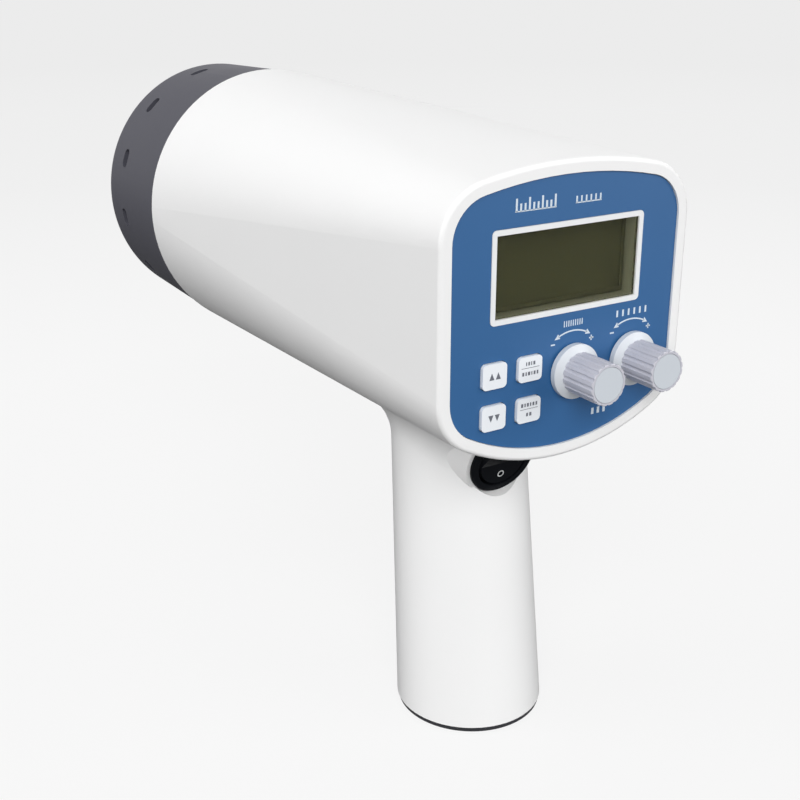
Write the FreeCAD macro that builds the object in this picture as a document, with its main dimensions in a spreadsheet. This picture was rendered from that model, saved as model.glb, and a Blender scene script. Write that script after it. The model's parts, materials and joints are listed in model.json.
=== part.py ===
import FreeCAD, Part
import math
import os
import Sketcher

# Hand-held xenon stroboscope.
# +X is the operator's right, +Y the way the flash points, +Z up. The origin is the centre of
# the foot of the grip. The barrel's axis runs along Y, axis_height above the foot.
# Barrel pieces are drawn about that axis, in bodies placed at its height.

Vector = FreeCAD.Vector

# ---------------------------------------------------------------- driving dimensions, mm
SIZES = (
    ("axis_height", 144.0, "barrel axis above the foot of the grip"),
    ("panel_back", 41.3, "face of the control panel behind the middle of the foot"),
    ("body_front", 135.9, "shoulder that the front ring seats on, ahead of the foot"),
    ("wall", 2.5, "housing wall"),
    ("neck_wall", 5.0, "housing wall at the grip's neck"),
    # rear end of the housing: four arcs and two flat sides round the control panel
    ("rim_half_width", 42.0, "half width of the rear end"),
    ("rim_above", 40.4, "top of the rear end above the axis"),
    ("rim_below", 42.8, "lowest point of the rear end below the axis"),
    ("top_arch", 140.8, "radius of the top edge"),
    ("low_arch", 70.4, "radius of the bottom edge"),
    ("rim_corner", 16.0, "radius of the corners"),
    ("rim_width", 3.8, "white border round the panel"),
    ("rim_proud", 0.6, "border stands behind the panel face"),
    ("rim_rounding", 1.1, "rounding of the border's outer edge"),
    ("shoulder_radius", 49.05, "housing at its front end"),
    ("shoulder_wall", 3.0, "front wall that carries the spigot"),
    ("low_span", 28.5, "degrees from straight down to the end of the bottom arch, at the front"),
    ("side_span", 3.0, "degrees of flat side left at the front, above and below the middle"),
    ("top_span", 12.0, "degrees from straight up to the end of the top arch, at the front"),
    # grip
    ("grip_foot_radius", 23.9, "grip at its foot"),
    ("grip_neck_radius", 20.6, "grip where it enters the barrel"),
    ("grip_neck_below", 26.0, "that section below the barrel's axis"),
    ("grip_lean", 5.4, "degrees that the grip leans forward"),
    ("neck_fillet", 15.0, "blend between grip and barrel"),
    # spigot and front ring
    ("spigot_length", 10.0, "spigot ahead of the shoulder"),
    ("spigot_inset", 3.65, "spigot smaller than the shoulder"),
    ("spigot_wall", 2.4, "wall of the spigot"),
    ("bead_height", 0.25, "snap bead on the spigot"),
    ("bead_width", 2.0, "length of the snap bead"),
    ("bead_start", 4.5, "bead ahead of the shoulder"),
    ("fit_gap", 0.3, "radial clearance of the parts that push together"),
    ("ring_length", 49.0, "front ring, back to front"),
    ("ring_step", 0.35, "front ring smaller than the shoulder"),
    ("ring_taper", 1.2, "front ring smaller at its face than at the shoulder"),
    ("ring_wall", 2.6, "front ring at its face"),
    ("ring_lip", 3.0, "thickness of the lip that holds the lens"),
    ("ring_lip_width", 2.1, "radial width of the lip"),
    ("ring_rounding", 1.6, "rounding of the front edge"),
    ("vent_count", 13, "cooling slots round the ring"),
    ("vent_turn", 15.8, "degrees from the top to the first slot"),
    ("vent_setback", 15.0, "middle of the slots behind the front face"),
    ("vent_width", 7.0, "slot, round the ring"),
    ("vent_length", 4.5, "slot, along the ring"),
    ("vent_corner", 1.9, "corner radius of a slot"),
    # lens, reflector and lamp
    ("gasket_thick", 0.8, "gasket between lip and lens"),
    ("gasket_width", 1.8, "radial width of the gasket"),
    ("lens_thick", 2.5, "clear lens"),
    ("lens_gap", 0.2, "radial clearance of lens and gasket in the ring"),
    ("reflector_margin", 1.3, "mirror smaller than the mouth of the ring"),
    ("reflector_neck", 12.6, "mirror radius at the lamp"),
    ("reflector_wall", 0.9, "sheet of the reflector"),
    ("carrier_thick", 2.0, "lamp carrier plate"),
    ("neck_flange", 19.5, "radius of the reflector's rear flange"),
    ("carrier_screw_inset", 3.2, "carrier screws inside the spigot's bore"),
    ("carrier_boss", 3.6, "radius of the carrier screw bosses"),
    ("lamp_base_radius", 11.5, "ceramic lamp base"),
    ("lamp_base_length", 11.5, "lamp base behind its front face"),
    ("lamp_base_front", 1.5, "lamp base ahead of the carrier"),
    ("lamp_base_flange", 15.0, "flange of the lamp base behind the carrier"),
    ("lamp_flange_thick", 2.0, "thickness of that flange"),
    ("tube_radius", 2.5, "flash tube"),
    ("tube_bore", 1.9, "inside of the flash tube"),
    ("tube_leg_spacing", 13.0, "between the legs of the flash tube"),
    ("tube_leg_length", 13.0, "straight leg in front of the lamp base"),
    ("tube_socket_depth", 4.0, "depth of the holes in the lamp base"),
    ("electrode_radius", 0.9, "tungsten electrode"),
    ("electrode_length", 9.5, "tungsten electrode"),
    ("trigger_wire_radius", 0.25, "nickel trigger wire"),
    ("trigger_turn_pitch", 3.2, "between turns of the trigger wire"),
    ("lamp_board_inset", 12.0, "round circuit board smaller than the spigot's bore"),
    ("board_thick", 1.6, "every circuit board"),
    ("trigger_coil_radius", 7.5, "trigger coil"),
    ("trigger_coil_length", 18.0, "trigger coil"),
    ("trigger_coil_side", 14.0, "trigger coil, to the right of the axis"),
    # control panel
    ("overlay_thick", 0.5, "printed panel overlay"),
    ("plate_thick", 2.0, "panel plate"),
    ("panel_gap", 0.15, "clearance of plate and overlay in the border"),
    ("ledge_width", 1.4, "ledge that the plate seats on"),
    ("ledge_thick", 3.0, "ledge that the plate seats on"),
    ("panel_screw_high_side", 35.0, "upper panel screws from the middle"),
    ("panel_screw_high", 22.0, "upper panel screws above the axis"),
    ("panel_screw_low_side", 33.3, "lower panel screws from the middle"),
    ("panel_screw_low", 26.0, "lower panel screws below the axis"),
    ("panel_boss_radius", 3.4, "screw bosses behind the ledge"),
    ("panel_boss_length", 5.0, "screw bosses behind the ledge"),
    ("display_width", 51.2, "display frame"),
    ("display_height", 25.3, "display frame"),
    ("display_above", 11.6, "middle of the display above the axis"),
    ("display_line", 1.5, "visible width of the display frame"),
    ("display_recess", 0.3, "display window set back from the panel face"),
    ("display_corner", 1.3, "corner of the display frame"),
    ("display_tunnel", 3.6, "display frame reaching in past the plate"),
    ("display_proud", 0.15, "display frame behind the overlay"),
    ("glass_thick", 1.1, "display window"),
    ("module_width", 56.0, "display module"),
    ("module_height", 31.0, "display module"),
    ("module_depth", 3.6, "display module"),
    ("slip_gap", 0.1, "clearance of still parts in their cut-outs"),
    # keys
    ("key_width", 7.9, "key cap"),
    ("key_height", 7.1, "key cap"),
    ("key_corner", 1.3, "corner radius of the key cap"),
    ("key_proud", 0.9, "key cap behind the overlay"),
    ("key_left", 24.2, "left column of keys from the middle"),
    ("key_pitch", 11.8, "between keys, both ways"),
    ("key_below", 14.65, "upper row of keys below the axis"),
    ("key_gap", 0.2, "clearance of a key in the panel"),
    ("key_flange", 0.7, "flange of the key beyond the cap"),
    ("key_flange_thick", 1.0, "flange of the key behind the plate"),
    ("key_rest_gap", 0.05, "between plate and flange at rest"),
    ("key_stem_radius", 1.5, "stem behind the key"),
    ("key_travel", 0.5, "travel of a key"),
    ("key_end_gap", 0.1, "between stem and switch when pressed"),
    ("switch_side", 6.0, "tactile switch body"),
    ("switch_depth", 3.0, "tactile switch body"),
    ("switch_button_radius", 1.7, "button of the tactile switch"),
    ("switch_button", 0.8, "button of the tactile switch"),
    # knobs and potentiometers
    ("fine_side", 2.9, "fine knob to the right of the middle"),
    ("coarse_side", 23.95, "coarse knob to the right of the middle"),
    ("knob_below", 17.9, "knobs below the axis"),
    ("skirt_radius", 7.85, "knob skirt"),
    ("skirt_thick", 1.6, "edge of the knob skirt"),
    ("skirt_rise", 1.2, "cone between skirt and grip"),
    ("knob_radius", 5.95, "fluted grip of the knob"),
    ("knob_length", 15.3, "end of the knob behind the panel face"),
    ("knob_gap", 0.5, "knob clear of the panel"),
    ("knob_rounding", 0.3, "rounding of the grip's end"),
    ("flute_count", 16, "flutes round the knob"),
    ("flute_radius", 0.7, "flute"),
    ("flute_depth", 0.38, "flute"),
    ("knob_cap_radius", 5.0, "disc in the end of the knob"),
    ("knob_cap_thick", 0.9, "disc in the end of the knob"),
    ("knob_cap_gap", 0.12, "clearance round the disc"),
    ("nut_space", 6.2, "hollow under the knob, over the nut"),
    ("nut_space_depth", 1.9, "hollow under the knob, over the nut"),
    ("bush_space", 4.0, "hollow in the grip, over the end of the bush"),
    ("bush_space_depth", 3.8, "hollow in the grip, over the end of the bush"),
    ("pot_radius", 8.0, "potentiometer case"),
    ("pot_depth", 8.6, "potentiometer case"),
    ("bush_radius", 3.5, "threaded bush"),
    ("bush_length", 6.3, "threaded bush ahead of the case"),
    ("nut_radius", 5.6, "nut, over its corners"),
    ("nut_thick", 2.0, "nut"),
    ("shaft_radius", 3.0, "potentiometer shaft"),
    ("shaft_gap", 0.05, "running clearance of the shaft, and its fit in the knob"),
    ("shaft_length", 14.7, "shaft behind the plate's inner face"),
    ("shaft_seat", 4.0, "shaft inside the case"),
    # control board
    ("control_half_width", 33.6, "control board"),
    ("control_above", 33.0, "control board above the axis"),
    ("control_below", 31.4, "control board below the axis"),
    ("control_corner", 6.0, "cut corners of the control board"),
    ("control_gap", 0.2, "control board behind the potentiometers"),
    ("pillar_radius", 2.4, "pillars between plate and board"),
    ("pillar_side", 31.0, "side pillars from the middle"),
    ("pillar_side_height", 4.0, "side pillars above the axis"),
    ("pillar_high", 30.3, "upper pillar above the axis"),
    ("pillar_low", 28.4, "lower pillar below the axis"),
    ("pillar_left", 4.6, "lower pillar, left of the middle"),
    # power switch
    ("rocker_height", 90.1, "middle of the power switch above the foot"),
    ("rocker_boss_back", 14.3, "flat seat of the switch behind the middle of the foot"),
    ("rocker_tilt", 16.0, "degrees that the switch looks down"),
    ("rocker_boss_rim", 1.0, "boss round the bezel"),
    ("rocker_boss_taper", 18.0, "degrees that the side of the boss slopes"),
    ("notch_length", 12.0, "notch for the switch behind its seat"),
    ("bezel_radius", 11.4, "bezel of the power switch"),
    ("bezel_thick", 1.2, "bezel of the power switch"),
    ("bezel_bevel", 0.4, "sloping edge of the bezel"),
    ("case_radius", 9.8, "case of the power switch"),
    ("case_depth", 15.0, "case of the power switch"),
    ("window_radius", 9.0, "round window in the bezel"),
    ("window_depth", 8.2, "depth of the window"),
    ("rocker_radius", 8.7, "ball-shaped side of the rocker"),
    ("rocker_pivot", 2.0, "pivot inside the bezel's seat"),
    ("rocker_face", 3.3, "middle of the rocker's face outside the pivot"),
    ("rocker_back", 2.8, "back of the rocker inside the pivot"),
    ("rocker_swing", 18.0, "degrees from off to on"),
    ("trunnion_radius", 1.1, "pivot pins of the rocker"),
    ("trunnion_reach", 9.4, "ends of the pivot pins from the middle"),
    ("pivot_gap", 0.05, "running clearance of the pivot pins"),
    # foot of the grip
    ("cap_lip", 1.6, "dark edge of the base cap under the grip"),
    ("cap_inset", 0.5, "cap smaller than the grip"),
    ("cap_floor", 3.4, "thickness of the cap round the inlet"),
    ("cap_plug", 6.4, "top of the cap's rim inside the grip"),
    ("cap_rim", 2.2, "wall of the cap's rim"),
    ("cap_gap", 1.0, "cap's rim clear of the leaning bore"),
    ("base_screw_rear", 17.4, "rear base screw behind the middle"),
    ("base_screw_front", 18.4, "front base screw ahead of the middle"),
    ("base_boss_radius", 4.2, "screw bosses inside the grip"),
    ("base_boss_length", 9.0, "screw bosses inside the grip"),
    ("inlet_width", 27.0, "body of the mains inlet"),
    ("inlet_height", 19.6, "body of the mains inlet"),
    ("inlet_depth", 24.0, "body of the mains inlet above its flange"),
    ("inlet_flange", 1.9, "flange of the inlet beyond its body"),
    ("inlet_flange_thick", 2.0, "flange of the inlet"),
    ("inlet_setback", 0.3, "flange above the foot"),
    ("socket_width", 24.0, "socket of the inlet"),
    ("socket_height", 16.0, "socket of the inlet"),
    ("socket_depth", 16.0, "socket of the inlet"),
    ("socket_corner", 4.0, "cut corners of the socket"),
    ("blade_spacing", 14.0, "between the two outer blades"),
    ("blade_offset", 2.0, "outer blades and earth blade, each side of the middle"),
    ("blade_thick", 2.0, "blade"),
    ("blade_width", 4.0, "blade"),
    ("blade_length", 13.0, "blade"),
    # power board
    ("power_below", 20.0, "upper face of the power board below the axis"),
    ("power_half_width", 28.0, "power board"),
    ("power_start", 2.0, "rear end of the power board ahead of the foot"),
    ("power_length", 106.0, "power board"),
    ("post_side", 22.0, "posts of the power board from the middle"),
    ("post_near", 46.0, "rear posts ahead of the foot"),
    ("post_far", 100.0, "front posts ahead of the foot"),
    ("post_radius", 3.4, "posts of the power board"),
    ("core_width", 40.0, "transformer core"),
    ("core_length", 16.0, "transformer core, along the barrel"),
    ("core_height", 33.0, "transformer core"),
    ("core_leg", 6.5, "outer legs of the core"),
    ("coil_length", 26.0, "transformer coil, along the barrel"),
    ("core_middle", 24.0, "middle of the transformer ahead of the foot"),
    ("capacitor_radius", 9.0, "storage capacitor"),
    ("capacitor_length", 32.0, "storage capacitor"),
    ("capacitor_side", 11.0, "capacitors from the middle"),
    ("capacitor_first", 58.0, "first pair of capacitors ahead of the foot"),
    ("capacitor_pitch", 23.0, "between pairs of capacitors"),
    # screws
    ("screw_radius", 1.25, "panel, board and carrier screws"),
    ("screw_length", 6.0, "screw below its head"),
    ("screw_head", 2.4, "radius of a screw head"),
    ("screw_head_thick", 1.4, "screw head"),
    ("hole_gap", 0.15, "clearance of a screw in its hole"),
)


# ---------------------------------------------------------------- lengths tied to the sheet
class Size:
    """A length or angle: its number now, and the formula that ties it to the sheet."""

    def __init__(self, text, value):
        self.text = text
        self.value = float(value)

    def __add__(self, other):
        other = as_size(other)
        return Size(f"({self.text} + {other.text})", self.value + other.value)

    def __sub__(self, other):
        other = as_size(other)
        return Size(f"({self.text} - {other.text})", self.value - other.value)

    def __mul__(self, other):
        other = as_size(other)
        return Size(f"({self.text} * {other.text})", self.value * other.value)

    def __truediv__(self, other):
        other = as_size(other)
        return Size(f"({self.text} / {other.text})", self.value / other.value)

    def __neg__(self):
        return Size(f"(-1 * {self.text})", -self.value)


def as_size(number):
    return number if isinstance(number, Size) else Size(repr(float(number)), number)


def sine(angle):
    return Size(f"sin({angle.text} * 1 deg)", math.sin(math.radians(angle.value)))


def cosine(angle):
    return Size(f"cos({angle.text} * 1 deg)", math.cos(math.radians(angle.value)))


def tangent(angle):
    return Size(f"tan({angle.text} * 1 deg)", math.tan(math.radians(angle.value)))


class Dimensions:
    """The sheet's named cells, each as a Size."""

    def __init__(self, document):
        self.sheet = document.addObject("Spreadsheet::Sheet", "Sizes")
        for row, (alias, value, meaning) in enumerate(SIZES, 1):
            self.sheet.set(f"A{row}", meaning)
            self.sheet.set(f"B{row}", str(value))
            self.sheet.setAlias(f"B{row}", alias)
            setattr(self, alias, Size(f"Sizes.{alias}", value))
        document.recompute()


def bind(thing, name, size):
    thing.setExpression(name, as_size(size).text)


document = FreeCAD.newDocument("stroboscope")
d = Dimensions(document)
ZERO = as_size(0)

# Places along the barrel that several pieces share, measured ahead of the foot.
panel_face = -d.panel_back
rim_back = panel_face - d.rim_proud
plate_back = panel_face + d.overlay_thick
plate_front = plate_back + d.plate_thick
ledge_front = plate_front + d.ledge_thick
ring_face = d.body_front + d.ring_length
spigot_end = d.body_front + d.spigot_length
carrier_front = spigot_end + d.carrier_thick
lens_front = ring_face - d.ring_lip - d.gasket_thick
lens_back = lens_front - d.lens_thick
lamp_face = carrier_front + d.lamp_base_front
lamp_board_front = lamp_face - d.lamp_base_length
board_back = plate_front + d.pot_depth + d.control_gap
board_front = board_back + d.board_thick
foot = -d.axis_height
neck_height = d.axis_height - d.grip_neck_below

# Radii of the head, each from the one it fits.
spigot_radius = d.shoulder_radius - d.spigot_inset
spigot_bore = spigot_radius - d.spigot_wall
ring_back_radius = d.shoulder_radius - d.ring_step
ring_front_radius = ring_back_radius - d.ring_taper
ring_bore = ring_front_radius - d.ring_wall
ring_mouth = ring_bore - d.ring_lip_width
lens_radius = ring_bore - d.lens_gap
mirror_rim = ring_mouth - d.reflector_margin
carrier_screw_circle = spigot_bore - d.carrier_screw_inset


# ---------------------------------------------------------------- drawing helpers
def new_body(label, at_axis=True):
    """A PartDesign body; at_axis sets its own origin on the barrel's axis."""
    body = document.addObject("PartDesign::Body", label)
    body.Label = label
    if at_axis:
        bind(body, "Placement.Base.z", d.axis_height)
    return body


def origin_item(body, role):
    return next(item for item in body.Origin.OriginFeatures if item.Role == role)


class Drawing:
    """A sketch on an origin plane of its body. front: u is X, v is Z, and it looks along +Y.
    side: u is Y, v is Z. floor: u is X, v is Y. distance is along +Y, +X or +Z."""

    PLANES = {"front": ("XZ_Plane", -1), "side": ("YZ_Plane", 1), "floor": ("XY_Plane", 1)}

    def __init__(self, body, name, plane, distance=None):
        role, direction = self.PLANES[plane]
        self.sketch = body.newObject("Sketcher::SketchObject", name)
        self.sketch.AttachmentSupport = [(origin_item(body, role), "")]
        self.sketch.MapMode = "FlatFace"
        if distance is not None:
            offset = distance if direction > 0 else -distance
            bind(self.sketch, "AttachmentOffset.Base.z", offset)

    def tie(self, kind, size, *target):
        """A dimension of the sketch that follows the sheet."""
        index = self.sketch.addConstraint(Sketcher.Constraint(kind, *target, size.value))
        bind(self.sketch, f"Constraints[{index}]", size)

    def hold(self, *words):
        self.sketch.addConstraint(Sketcher.Constraint(*words))

    def place(self, item, end, u, v):
        """Puts one point of an edge at u, v."""
        u, v = as_size(u), as_size(v)
        if u.value == 0:
            self.hold("PointOnObject", item, end, -2)
        else:
            self.tie("DistanceX", u, -1, 1, item, end)
        if v.value == 0:
            self.hold("PointOnObject", item, end, -1)
        else:
            self.tie("DistanceY", v, -1, 1, item, end)

    def line(self, start, end):
        a, b = Vector(*start, 0), Vector(*end, 0)
        return self.sketch.addGeometry(Part.LineSegment(a, b), False)

    def arc(self, centre, radius, first, last):
        circle = Part.Circle(Vector(*centre, 0), Vector(0, 0, 1), radius)
        return self.sketch.addGeometry(Part.ArcOfCircle(circle, first, last), False)

    def polygon(self, *points):
        """A closed outline of straight edges through the points."""
        points = [(as_size(u), as_size(v)) for u, v in points]
        items = []
        for (u, v), (next_u, next_v) in zip(points, points[1:] + points[:1]):
            items.append(self.line((u.value, v.value), (next_u.value, next_v.value)))
        for item, following in zip(items, items[1:] + items[:1]):
            self.hold("Coincident", item, 2, following, 1)
        for item, (u, v) in zip(items, points):
            self.place(item, 1, u, v)
        return self.sketch

    def rectangle(self, left, right, low, high):
        return self.polygon((left, low), (right, low), (right, high), (left, high))

    def circle(self, radius, u=ZERO, v=ZERO):
        centre = Vector(as_size(u).value, as_size(v).value, 0)
        circle = Part.Circle(centre, Vector(0, 0, 1), radius.value)
        item = self.sketch.addGeometry(circle, False)
        self.place(item, 3, u, v)
        self.tie("Radius", radius, item)
        return self.sketch

    def rim_outline(self, inset):
        """The rear end's outline, moved inwards by inset: arched top and bottom, flat sides."""
        half = d.rim_half_width - inset
        corner = d.rim_corner - inset
        reach = half.value - corner.value
        low, high = inset - d.rim_below, d.rim_above - inset
        arches = []
        for edge, radius, up in ((low, d.low_arch - inset, -1), (high, d.top_arch - inset, 1)):
            middle = edge + radius if up < 0 else edge - radius
            slant = math.asin(reach / (radius.value - corner.value))
            corner_height = middle.value + up * (radius.value - corner.value) * math.cos(slant)
            arches.append((middle, radius, slant, corner_height))
        (low_middle, low_radius, low_slant, low_height) = arches[0]
        (top_middle, top_radius, top_slant, top_height) = arches[1]
        down, up, right = -math.pi / 2, math.pi / 2, 0.0
        width, small = half.value, corner.value
        edges = [
            self.arc((0, low_middle.value), low_radius.value, down - low_slant, down + low_slant),
            self.arc((reach, low_height), small, down + low_slant, right),
            self.line((width, low_height), (width, top_height)),
            self.arc((reach, top_height), small, right, up - top_slant),
            self.arc((0, top_middle.value), top_radius.value, up - top_slant, up + top_slant),
            self.arc((-reach, top_height), small, up + top_slant, math.pi),
            self.line((-width, top_height), (-width, low_height)),
            self.arc((-reach, low_height), small, math.pi, 3 * math.pi / 2 - low_slant),
        ]
        for edge, following in zip(edges, edges[1:] + edges[:1]):
            self.hold("Tangent", edge, 2, following, 1)
        for edge, middle, radius in ((0, low_middle, low_radius), (4, top_middle, top_radius)):
            self.tie("Radius", radius, edges[edge])
            self.place(edges[edge], 3, ZERO, middle)
        self.tie("Radius", corner, edges[1])
        for edge in (3, 5, 7):
            self.hold("Equal", edges[1], edges[edge])
        for edge, side in ((2, half), (6, -half)):
            self.hold("Vertical", edges[edge])
            self.tie("DistanceX", side, -1, 1, edges[edge], 1)
        return self.sketch

    def matched_circle(self, radius):
        """A circle cut into eight arcs, one for each edge of the rear end's outline."""
        low, side, top = d.low_span, d.side_span, d.top_span
        down, up = as_size(-90), as_size(90)
        starts = [down - low, down + low, -side, side, up - top, up + top,
                  as_size(180) - side, as_size(180) + side]
        lasts = starts[1:] + [as_size(360) + starts[0]]
        for start, last in zip(starts, lasts):
            first_angle, last_angle = math.radians(start.value), math.radians(last.value)
            arc = self.arc((0, 0), radius.value, first_angle, last_angle)
            self.hold("Coincident", arc, 3, -1, 1)
            if arc:
                self.hold("Coincident", arc - 1, 2, arc, 1)
            else:
                self.tie("Radius", radius, arc)
        for arc, start in enumerate(starts + lasts[-1:]):
            target = (arc, 1) if arc < len(starts) else (arc - 1, 2)
            steep = abs(math.cos(math.radians(start.value))) > abs(math.sin(math.radians(start.value)))
            if steep:
                self.tie("DistanceY", radius * sine(start), -1, 1, *target)
            else:
                self.tie("DistanceX", radius * cosine(start), -1, 1, *target)
        return self.sketch


def feature(body, kind, name, sketch, **settings):
    made = body.newObject(f"PartDesign::{kind}", name)
    made.Profile = sketch
    for key, value in settings.items():
        if isinstance(value, Size):
            bind(made, key, value)
        else:
            setattr(made, key, value)
    return made


def pad(body, name, sketch, length, backwards=False):
    return feature(body, "Pad", name, sketch, Length=length, Reversed=backwards)


def pocket(body, name, sketch, length, backwards=False):
    return feature(body, "Pocket", name, sketch, Length=length, Reversed=backwards)


def turned(body, name, sketch, kind="Revolution"):
    """The sketch turned once about its own horizontal axis."""
    return feature(body, kind, name, sketch, ReferenceAxis=(sketch, ["H_Axis"]), Angle=360)


def loft(body, name, first, second, kind="AdditiveLoft"):
    return feature(body, kind, name, first, Sections=[second], Ruled=True)


def pattern(body, name, original, axis, count):
    made = body.newObject("PartDesign::PolarPattern", name)
    made.Originals = [original]
    made.Axis = axis
    made.Angle = 360
    bind(made, "Occurrences", count)
    body.Tip = made
    return made


def rounded(body, name, base, radius, wanted):
    """Rounds the edges of the last feature that wanted() picks."""
    document.recompute()
    names = [f"Edge{i}" for i, edge in enumerate(base.Shape.Edges, 1) if wanted(edge)]
    made = body.newObject("PartDesign::Fillet", name)
    made.Base = (base, names)
    bind(made, "Radius", radius)
    return made


def runs_along(edge, axis):
    """True for a straight edge along the axis x, y or z."""
    box = edge.BoundBox
    spans = {"x": box.XLength, "y": box.YLength, "z": box.ZLength}
    return all(span < 1e-4 for name, span in spans.items() if name != axis)


TURNS = {
    "up": FreeCAD.Rotation(),
    "front": FreeCAD.Rotation(Vector(1, 0, 0), -90),
    "back": FreeCAD.Rotation(Vector(1, 0, 0), 90),
    "down": FreeCAD.Rotation(Vector(1, 0, 0), 180),
}


def put(thing, x, y, z, turn="up"):
    thing.Placement = FreeCAD.Placement(Vector(), TURNS[turn])
    bind(thing, "Placement.Base.x", x)
    bind(thing, "Placement.Base.y", y)
    bind(thing, "Placement.Base.z", z)
    return thing


def rod(name, radius, length, x, y, z, turn="up"):
    """A cylinder that starts at x, y, z and points the way that turn says."""
    made = document.addObject("Part::Cylinder", name)
    bind(made, "Radius", radius)
    bind(made, "Height", length)
    return put(made, x, y, z, turn)


def block(name, width, depth, height, x, y, z):
    """A box whose lowest corner is at x, y, z."""
    made = document.addObject("Part::Box", name)
    bind(made, "Length", width)
    bind(made, "Width", depth)
    bind(made, "Height", height)
    return put(made, x, y, z)


def joined(label, *shapes):
    made = document.addObject("Part::MultiFuse", label)
    made.Label = label
    made.Shapes = list(shapes)
    return made


def cut(label, base, *tools):
    tool = tools[0] if len(tools) == 1 else joined(f"{label}_tools", *tools)
    made = document.addObject("Part::Cut", label)
    made.Label = label
    made.Base = base
    made.Tool = tool
    return made


def group(label, *shapes):
    """Separate solids that share one node, such as a set of like screws."""
    made = document.addObject("Part::Compound", label)
    made.Label = label
    made.Links = list(shapes)
    return made


def screw(name, x, y, z, turn):
    """A pan-head screw; x, y, z is under its head, and its shank points the way of turn."""
    opposite = {"front": "back", "back": "front", "up": "down", "down": "up"}[turn]
    shank = rod(f"{name}_shank", d.screw_radius, d.screw_length, x, y, z, turn)
    head = rod(f"{name}_head", d.screw_head, d.screw_head_thick, x, y, z, opposite)
    return joined(name, shank, head)


nodes = []


def keep(node):
    nodes.append(node)
    return node


# ---------------------------------------------------------------- places of repeated pieces
panel_screw_places = [
    (-d.panel_screw_high_side, d.panel_screw_high),
    (d.panel_screw_high_side, d.panel_screw_high),
    (-d.panel_screw_low_side, -d.panel_screw_low),
    (d.panel_screw_low_side, -d.panel_screw_low),
]
pillar_places = [
    (ZERO, d.pillar_high),
    (-d.pillar_side, d.pillar_side_height),
    (d.pillar_side, d.pillar_side_height),
    (-d.pillar_left, -d.pillar_low),
]
left_keys, right_keys = -d.key_left, d.key_pitch - d.key_left
upper_keys, lower_keys = -d.key_below, -d.key_below - d.key_pitch
key_places = {
    "key_double": (left_keys, upper_keys),
    "key_halve": (left_keys, lower_keys),
    "key_mode": (right_keys, upper_keys),
    "key_range": (right_keys, lower_keys),
}
knob_places = {"fine": d.fine_side, "coarse": d.coarse_side}
knob_height = d.axis_height - d.knob_below
base_screw_places = [-d.base_screw_rear, d.base_screw_front]
post_places = [
    (side, ahead) for side in (-d.post_side, d.post_side) for ahead in (d.post_near, d.post_far)
]
capacitor_places = [
    (side, ahead)
    for side in (-d.capacitor_side, d.capacitor_side)
    for ahead in (d.capacitor_first, d.capacitor_first + d.capacitor_pitch)
]
carrier_screw_turns = [as_size(angle) for angle in (90, 210, 330)]
screw_hole = d.screw_radius + d.hole_gap
rocker_place = (ZERO, -d.rocker_boss_back, d.rocker_height)
rocker_turn = FreeCAD.Rotation(Vector(1, 0, 0), d.rocker_tilt.value)


# ---------------------------------------------------------------- housing
def switch_drawing(body, name):
    """A drawing on the seat of the power switch, which looks back and down."""
    drawn = Drawing(body, name, "front")
    drawn.sketch.AttachmentOffset = FreeCAD.Placement(Vector(), rocker_turn)
    bind(drawn.sketch, "AttachmentOffset.Base.y", foot + d.rocker_height)
    bind(drawn.sketch, "AttachmentOffset.Base.z", d.rocker_boss_back)
    return drawn


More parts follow.
